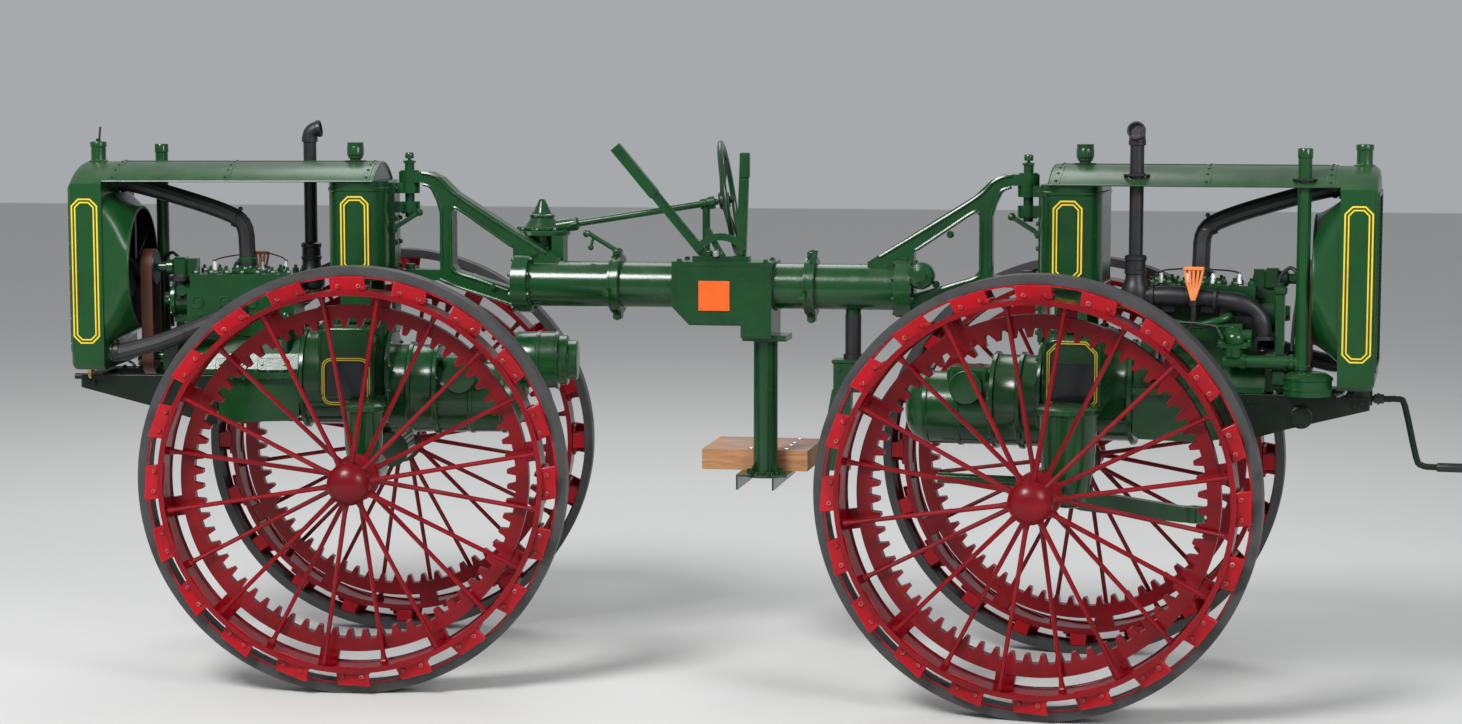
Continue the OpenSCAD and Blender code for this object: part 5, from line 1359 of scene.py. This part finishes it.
def gooseneck_pieces(s, label):
    """Raised ribs that follow the yoke's edges, and the bolts and welds at its ends."""
    top_edge = np.array([[0.985, 1.652], [0.958, 1.648], [0.925, 1.631], [0.873, 1.582], [0.700, 1.473],
                         [0.560, 1.388]])
    low_edge = np.array([[0.676, 1.410], [0.770, 1.473], [0.862, 1.5345], [0.881, 1.531]])
    back = np.array([[0.888, 1.500], [0.888, 1.420], [0.888, 1.350], [0.872, 1.322], [0.800, 1.299],
                     [0.690, 1.262]])
    front = np.array([[0.9195, 1.352], [0.9195, 1.44], [0.9195, 1.522], [0.931, 1.560], [0.950, 1.602],
                      [0.980, 1.6145]])
    bottom = np.array([[0.925, 1.297], [0.896, 1.286], [0.861, 1.271], [0.760, 1.241], [0.660, 1.2105]])
    parts = []
    for line in (top_edge, low_edge, back, front, bottom):
        for side in (-1, 1):
            path = np.column_stack([s * line[:, 0], np.full(len(line), side * 0.031), line[:, 1]])
            parts.append(pipe(smooth_path(path, 4), 0.0055, 8, side=(0, 1, 0)))
    parts.append(cup((s * PIN_X, 0, 1.686), (0, 0, 1), 1.1))
    parts.append(hoop(ring_section(0.0162, 0.031, 1.6565, 1.661), (s * PIN_X, 0, 0), (0, 0, 1), 28))
    parts.append(lathe([(0.0155, 1.684), (0.022, 1.686), (0.022, 1.692), (0.016, 1.694)], (s * PIN_X, 0, 0),
                       (0, 0, 1), 6))
    parts.append(bolt_ring((s * 0.666, 0, TUBE_Z), (s, 0, 0), 0.087, 8, 0.018, 0.011, math.pi / 8))
    parts.append(bolt_ring((s * 0.6138, 0, TUBE_Z), (-s, 0, 0), 0.087, 8, 0.018, 0.010, math.pi / 8))
    parts.append(weld_round((s * 0.6125, 0, TUBE_Z), (1, 0, 0), 0.0765, 0.004))
    if s > 0:
        # swivel casting at the brace's foot, with its cap and nuts
        parts.append(lathe([(0.030, 0), (0.040, 0.004), (0.044, 0.014), (0.044, 0.050), (0.038, 0.058),
                            (0.020, 0.064), (0.018, 0.074), (0.001, 0.075)],
                           (0.700, -0.030, 1.330), (0, -1, 0), 32))
        parts.append(bolt_ring((0.700, -0.084, 1.330), (0, -1, 0), 0.034, 5, 0.011, 0.007))
        parts.append(bolts([(0.58, -0.034, 1.352), (0.645, -0.034, 1.378), (0.745, -0.034, 1.300),
                            (0.79, -0.034, 1.462)], (0, -1, 0), 0.018, 0.010))
    else:
        parts.append(bolts([(-0.60, -0.034, 1.388), (-0.650, -0.034, 1.300), (-0.74, -0.034, 1.272)],
                           (0, -1, 0), 0.018, 0.010))
    piece(f"{label}_gooseneck_trim", parts, FINISH["green"], "centre_frame", "centre")


def tube_pieces():
    """Collars, welds, seams and bolts of the centre tube and its saddle."""
    parts = []
    for x in (-0.320, 0.333):
        parts += [hoop(ring_section(0.0935, 0.0975, x - 0.016, x - 0.010), (0, 0, TUBE_Z), (1, 0, 0), 56),
                  hoop(ring_section(0.0935, 0.0975, x + 0.010, x + 0.016), (0, 0, TUBE_Z), (1, 0, 0), 56)]
        for z in (1.392, 1.180):
            parts.append(bolts([(x, -0.0165, z)], (0, -1, 0), 0.020, 0.014))
            parts.append(bolts([(x, 0.0165, z)], (0, 1, 0), 0.020, 0.014))
        parts.append(lathe([(0.010, 0), (0.010, 0.014), (0.013, 0.016), (0.013, 0.026), (0.001, 0.028)],
                           (x - 0.012, -0.092, 1.262), (-0.15, -1, 0), 6))
    parts.append(line_between((0.345, -0.052, 1.352), (0.352, -0.040, 1.406), 0.007, 10))
    parts.append(line_between((0.352, -0.040, 1.404), (0.328, -0.052, 1.352), 0.006, 10))
    knob = lathe([(0.001, 0), (0.011, 0.004), (0.014, 0.012), (0.011, 0.021), (0.001, 0.025)],
                 (-0.415, 0.0, 1.447), (-0.86, 0, 0.51), 18)
    drop = [line_between((-0.403, 0, 1.442), (-0.410, -0.004, 1.412), 0.005, 8),
            lathe([(0.001, 0), (0.009, 0.003), (0.010, 0.010), (0.006, 0.018), (0.001, 0.019)],
                  (-0.410, -0.004, 1.416), (-0.1, 0, -1), 14)]
    parts += [knob] + drop
    # saddle: welds round its ends, seam plates and bolts
    parts += [weld_round((x, 0, TUBE_Z), (1, 0, 0), 0.0768, 0.0035) for x in (-0.1205, 0.2145)]
    outline = np.array([[-0.112, 1.361], [0.206, 1.361], [0.206, 1.127], [0.118, 1.127], [0.118, 1.167],
                        [-0.057, 1.167], [-0.112, 1.223]])
    for side in (-1, 1):
        parts.append(side_face(side * 0.0908, side)(line_round(rounded(outline, 0.006, 3), 0.006, 0.0025)))
    parts.append(weld_round((POST_X, 0, 1.107), (0, 0, 1), 0.0405, 0.004))
    parts.append(bolts([(x, y, 1.368) for x in (-0.098, 0.190) for y in (-0.066, 0.066)], (0, 0, 1), 0.016,
                       0.009))
    piece("tube_trim", parts, FINISH["green"], "centre_frame", "centre")
    screws = bolts([(x, -0.0953, z) for x in (-0.018, 0.065) for z in (1.219, 1.296)], (0, -1, 0), 0.008,
                   0.003)
    piece("marker_screws", [screws], FINISH["orange"], "centre_frame", "centre")


def platform_pieces():
    """Foot flange of the post with its webs, and the boards' bolts."""
    parts = [bolt_ring((POST_X, 0, 0.667), (0, 0, 1), 0.058, 6, 0.018, 0.010, 0.3),
             weld_round((POST_X, 0, 0.6685), (0, 0, 1), 0.0405, 0.005)]
    for angle in np.arange(4) * np.pi / 2 + np.pi / 4:
        c, s = math.cos(angle), math.sin(angle)
        web = np.array([[0.039, 0.667], [0.068, 0.667], [0.042, 0.706], [0.039, 0.706]])
        sheet = [np.column_stack([POST_X + web[:, 0] * c - t * s, web[:, 0] * s + t * c,
                                  web[:, 1]]) for t in (-0.003, 0.003)]
        parts.append(capped(np.array(sheet)))
    piece("post_trim", parts, FINISH["green"], "centre_frame", "centre")
    # round bolt heads on the boards
    x, y = np.meshgrid([0.117, 0.237], [0.080, 0.180, 0.250, 0.350])
    heads = [lathe([(0.011, 0), (0.0105, 0.0025), (0.007, 0.0045), (0.001, 0.005)], (a, b, BOARD_TOP),
                   (0, 0, 1), 16)
             for a, b in zip(x.ravel(), y.ravel())]
    piece("board_bolts", heads, FINISH["steel"], "centre_frame", "centre")


def steering_pieces():
    """Trim of the steering gear, its column and the steering wheel."""
    x, y = STEERING_AT
    parts = [lathe([(0.0925, 1.4405), (0.0955, 1.443), (0.0955, 1.455), (0.0925, 1.4575)], (x, y, 0),
                   (0, 0, 1), 48), bolt_ring((x, y, 1.458), (0, 0, 1), 0.079, 8, 0.017, 0.011),
             lathe([(0.0655, 1.458), (0.069, 1.460), (0.069, 1.466), (0.064, 1.470)], (x, y, 0), (0, 0, 1),
                   36),
             lathe([(0.039, 1.500), (0.043, 1.502), (0.043, 1.509), (0.036, 1.513)], (x, y, 0), (0, 0, 1),
                   28), bolt_ring((x, y, 1.512), (0, 0, 1), 0.0305, 4, 0.009, 0.006),
             lathe([(0.013, 1.545), (0.013, 1.556), (0.009, 1.562), (0.001, 1.563)], (x, y, 0), (0, 0, 1),
                   6)]
    for angle in np.arange(8) * np.pi / 4 + 0.2:
        c, s = math.cos(angle), math.sin(angle)
        web = np.array([[0.060, 1.392], [0.070, 1.396], [0.090, 1.441], [0.060, 1.441]])
        parts.append(capped(np.array([np.column_stack([x + web[:, 0] * c - t * s, y + web[:, 0] * s + t * c,
                                                       web[:, 1]])
                                      for t in (-0.003, 0.003)])))
    piece("steering_gear_trim", parts, FINISH["green"], "centre_frame", "centre")
    # along the column: collar, clamp of its bracket, and the gear's packing nut
    rim_at = np.array([0.020, 0.200, 1.562])
    turn, rise = math.atan2(COLUMN_RUN[1], COLUMN_RUN[0]), COLUMN_RISE
    way = np.array([math.cos(rise) * math.cos(turn), math.cos(rise) * math.sin(turn), math.sin(rise)])
    length = math.hypot(*COLUMN_RUN) / math.cos(rise)
    nut = lathe([(0.026, 0), (0.026, 0.020), (0.019, 0.026), (0.0125, 0.028)],
                rim_at + way * (-length + 0.100), way, 6)
    clamp = hoop(ring_section(0.0125, 0.0235, -0.072, -0.050), rim_at, way, 32)
    piece("steering_column_trim",
          [nut, clamp, bolts([rim_at + way * -0.080 + [0, -0.020, 0.0]], (0, -1, 0), 0.014, 0.010)],
          FINISH["green"], "centre_frame", "centre")
    knob = [lathe([(0.027, -0.034), (0.031, -0.030), (0.031, -0.020), (0.026, -0.014)], rim_at, way, 32),
            lathe([(0.014, 0.0), (0.014, 0.012), (0.010, 0.015), (0.001, 0.0155)], rim_at, way, 6)]
    section = [(0.191 + 0.0105 * math.cos(a), 0.0095 * math.sin(a))
               for a in np.linspace(0, 2 * np.pi, 12, False)]
    ring = hoop(section, rim_at, way, 96)
    piece("steering_hub", knob, FINISH["iron"], "hand_wheel", "centre")
    piece("steering_rim_paint", [ring], FINISH["green"], "hand_wheel", "centre")


def lever_pieces():
    """Notched quadrant, pivots, latch rods and knob of the hand levers."""
    y = -0.020
    # notched quadrant between the levers, with its bolts
    turn = np.linspace(math.radians(35), math.radians(150), 47)
    outer = 0.106 + 0.003 * (np.arange(47) % 2)
    pts = np.concatenate([np.column_stack([0.035 + outer * np.cos(turn), 1.352 + outer * np.sin(turn)]),
                          np.column_stack([0.035 + 0.084 * np.cos(turn[::-1]),
                                           1.352 + 0.084 * np.sin(turn[::-1])])])
    sheet = np.array([np.column_stack([pts[:, 0], np.full(len(pts), t),
                                       pts[:, 1]]) for t in (y - 0.016, y - 0.010)])
    quadrant = capped(sheet)
    pivots = [bolts([(-0.006, y - 0.0075, 1.392), (0.101, y - 0.0075, 1.394), (0.036, y - 0.007, 1.386)],
                    (0, -1, 0), 0.020, 0.014)]
    latch = [line_between((0.118, y - 0.006, 1.640), (0.113, y - 0.006, 1.470), 0.004, 8),
             line_between((-0.190, y - 0.015, 1.610), (-0.060, y - 0.015, 1.452), 0.004, 8)]
    grip_end = [block((0.096, y - 0.011, 1.640), (0.129, y + 0.011, 1.7235), 0.004)]
    knob = lathe([(0.001, 0), (0.012, 0.004), (0.014, 0.011), (0.010, 0.018), (0.001, 0.020)],
                 (0.021, y - 0.012, 1.392), (0, -1, 0), 18)
    piece("lever_trim", [quadrant] + pivots + latch + grip_end, FINISH["green"], "centre_frame", "centre")
    piece("lever_knob", [knob], FINISH["steel"], "centre_frame", "centre")


def foot_lever_pieces():
    """Bolts and block of the foot lever, and its post's collar."""
    parts = [bolts([(0.430, -0.038, 0.965), (0.490, -0.038, 0.965), (0.430, -0.038, 1.020),
                    (0.490, -0.038, 1.020)], (0, -1, 0), 0.016, 0.009),
             block((0.404, -0.042, 1.036), (0.517, 0.042, 1.050), 0.004),
             bolts([(0.430, -0.0255, 0.80), (0.425, -0.0255, 0.72)], (0, -1, 0), 0.016, 0.009)]
    piece("foot_lever_trim", parts, FINISH["green"], "centre_frame", "centre")
    collar = hoop(ring_section(0.0245, 0.032, 1.050, 1.066), (0.470, 0, 0), (0, 0, 1), 32)
    sleeve = hoop(ring_section(0.0248, 0.0262, 1.066, 1.195), (0.470, 0, 0), (0, 0, 1), 32)
    piece("foot_post_collar", [collar, sleeve], FINISH["iron"], "centre_frame", "centre")


# Stage


def set_stage():
    """Pale floor, three soft lamps and an even sky."""
    mesh = bpy.data.meshes.new("floor")
    reach = 40.0
    mesh.from_pydata([(-reach, -reach, 0), (reach, -reach, 0), (reach, reach, 0), (-reach, reach, 0)], [],
                     [(0, 1, 2, 3)])
    floor = bpy.data.objects.new("floor", mesh)
    bpy.context.scene.collection.objects.link(floor)
    material, tree, shader, where = start_finish("pale_floor")
    clouds = effect(tree, "patches", {"Vector": where, "Scale": 0.8, "Cover": 0.5, "Softness": 0.5})
    tree.links.new(mixed(tree, clouds, (0.62, 0.62, 0.61), (0.58, 0.58, 0.57)), shader.inputs["Base Color"])
    shader.inputs["Roughness"].default_value = 0.9
    floor.data.materials.append(material)

    world = bpy.data.worlds.new("even_sky")
    bpy.context.scene.world = world
    world.use_nodes = True
    world.node_tree.nodes["Background"].inputs[0].default_value = (0.84, 0.87, 0.90, 1)
    world.node_tree.nodes["Background"].inputs[1].default_value = 0.46

    # place, aim, size and watts of each lamp
    lamps = {"key_lamp": ((-3.0, -6.0, 7.0), (-0.2, 0, 0.8), 3.0, 760),
             "fill_lamp": ((6.0, -5.0, 4.5), (0, 0, 0.8), 3.0, 260),
             "back_lamp": ((-1.5, 5.0, 7.5), (0, 0, 0.8), 5.0, 200)}
    for name, (place, aim, size, watts) in lamps.items():
        data = bpy.data.lights.new(name, "AREA")
        data.shape, data.size, data.energy = "DISK", size, watts
        lamp = bpy.data.objects.new(name, data)
        lamp.location = place
        way = np.array(aim) - np.array(place)
        level = math.hypot(way[0], way[1])
        lamp.rotation_euler = Euler((math.pi / 2 - math.atan2(-way[2], level), 0,
                                     math.atan2(way[1], way[0]) - math.pi / 2))
        bpy.context.scene.collection.objects.link(lamp)


def set_camera():
    """Camera where the photograph was taken from: its place, turn and pitch were fitted to the wheels."""
    data = bpy.data.cameras.new("camera")
    data.sensor_width, data.lens = 36.0, 65.3
    camera = bpy.data.objects.new("camera", data)
    camera.location = (1.5429, -8.5638, 1.8719)
    camera.rotation_euler = Euler((math.radians(90 - 5.491), 0, math.radians(10.685)))
    bpy.context.scene.collection.objects.link(camera)
    bpy.context.scene.camera = camera


set_camera()
set_stage()
dress_solids()
for unit in UNITS:
    unit_lines(unit)
    for side in ("near", "far"):
        wheel_pieces(unit, side)
    for make in (radiator_pieces, hood_pieces, tank_pieces, exhaust_pieces, intake_pieces, hose_pieces,
                 engine_pieces, ignition_pieces, fan_pieces, gearbox_pieces, rail_pieces, hitch_pieces):
        make(unit)
gooseneck_pieces(-1, "left")
gooseneck_pieces(1, "right")
for make in (crank_pieces, tube_pieces, platform_pieces, steering_pieces, lever_pieces, foot_lever_pieces):
    make()

bpy.context.scene.view_settings.view_transform = "Standard"
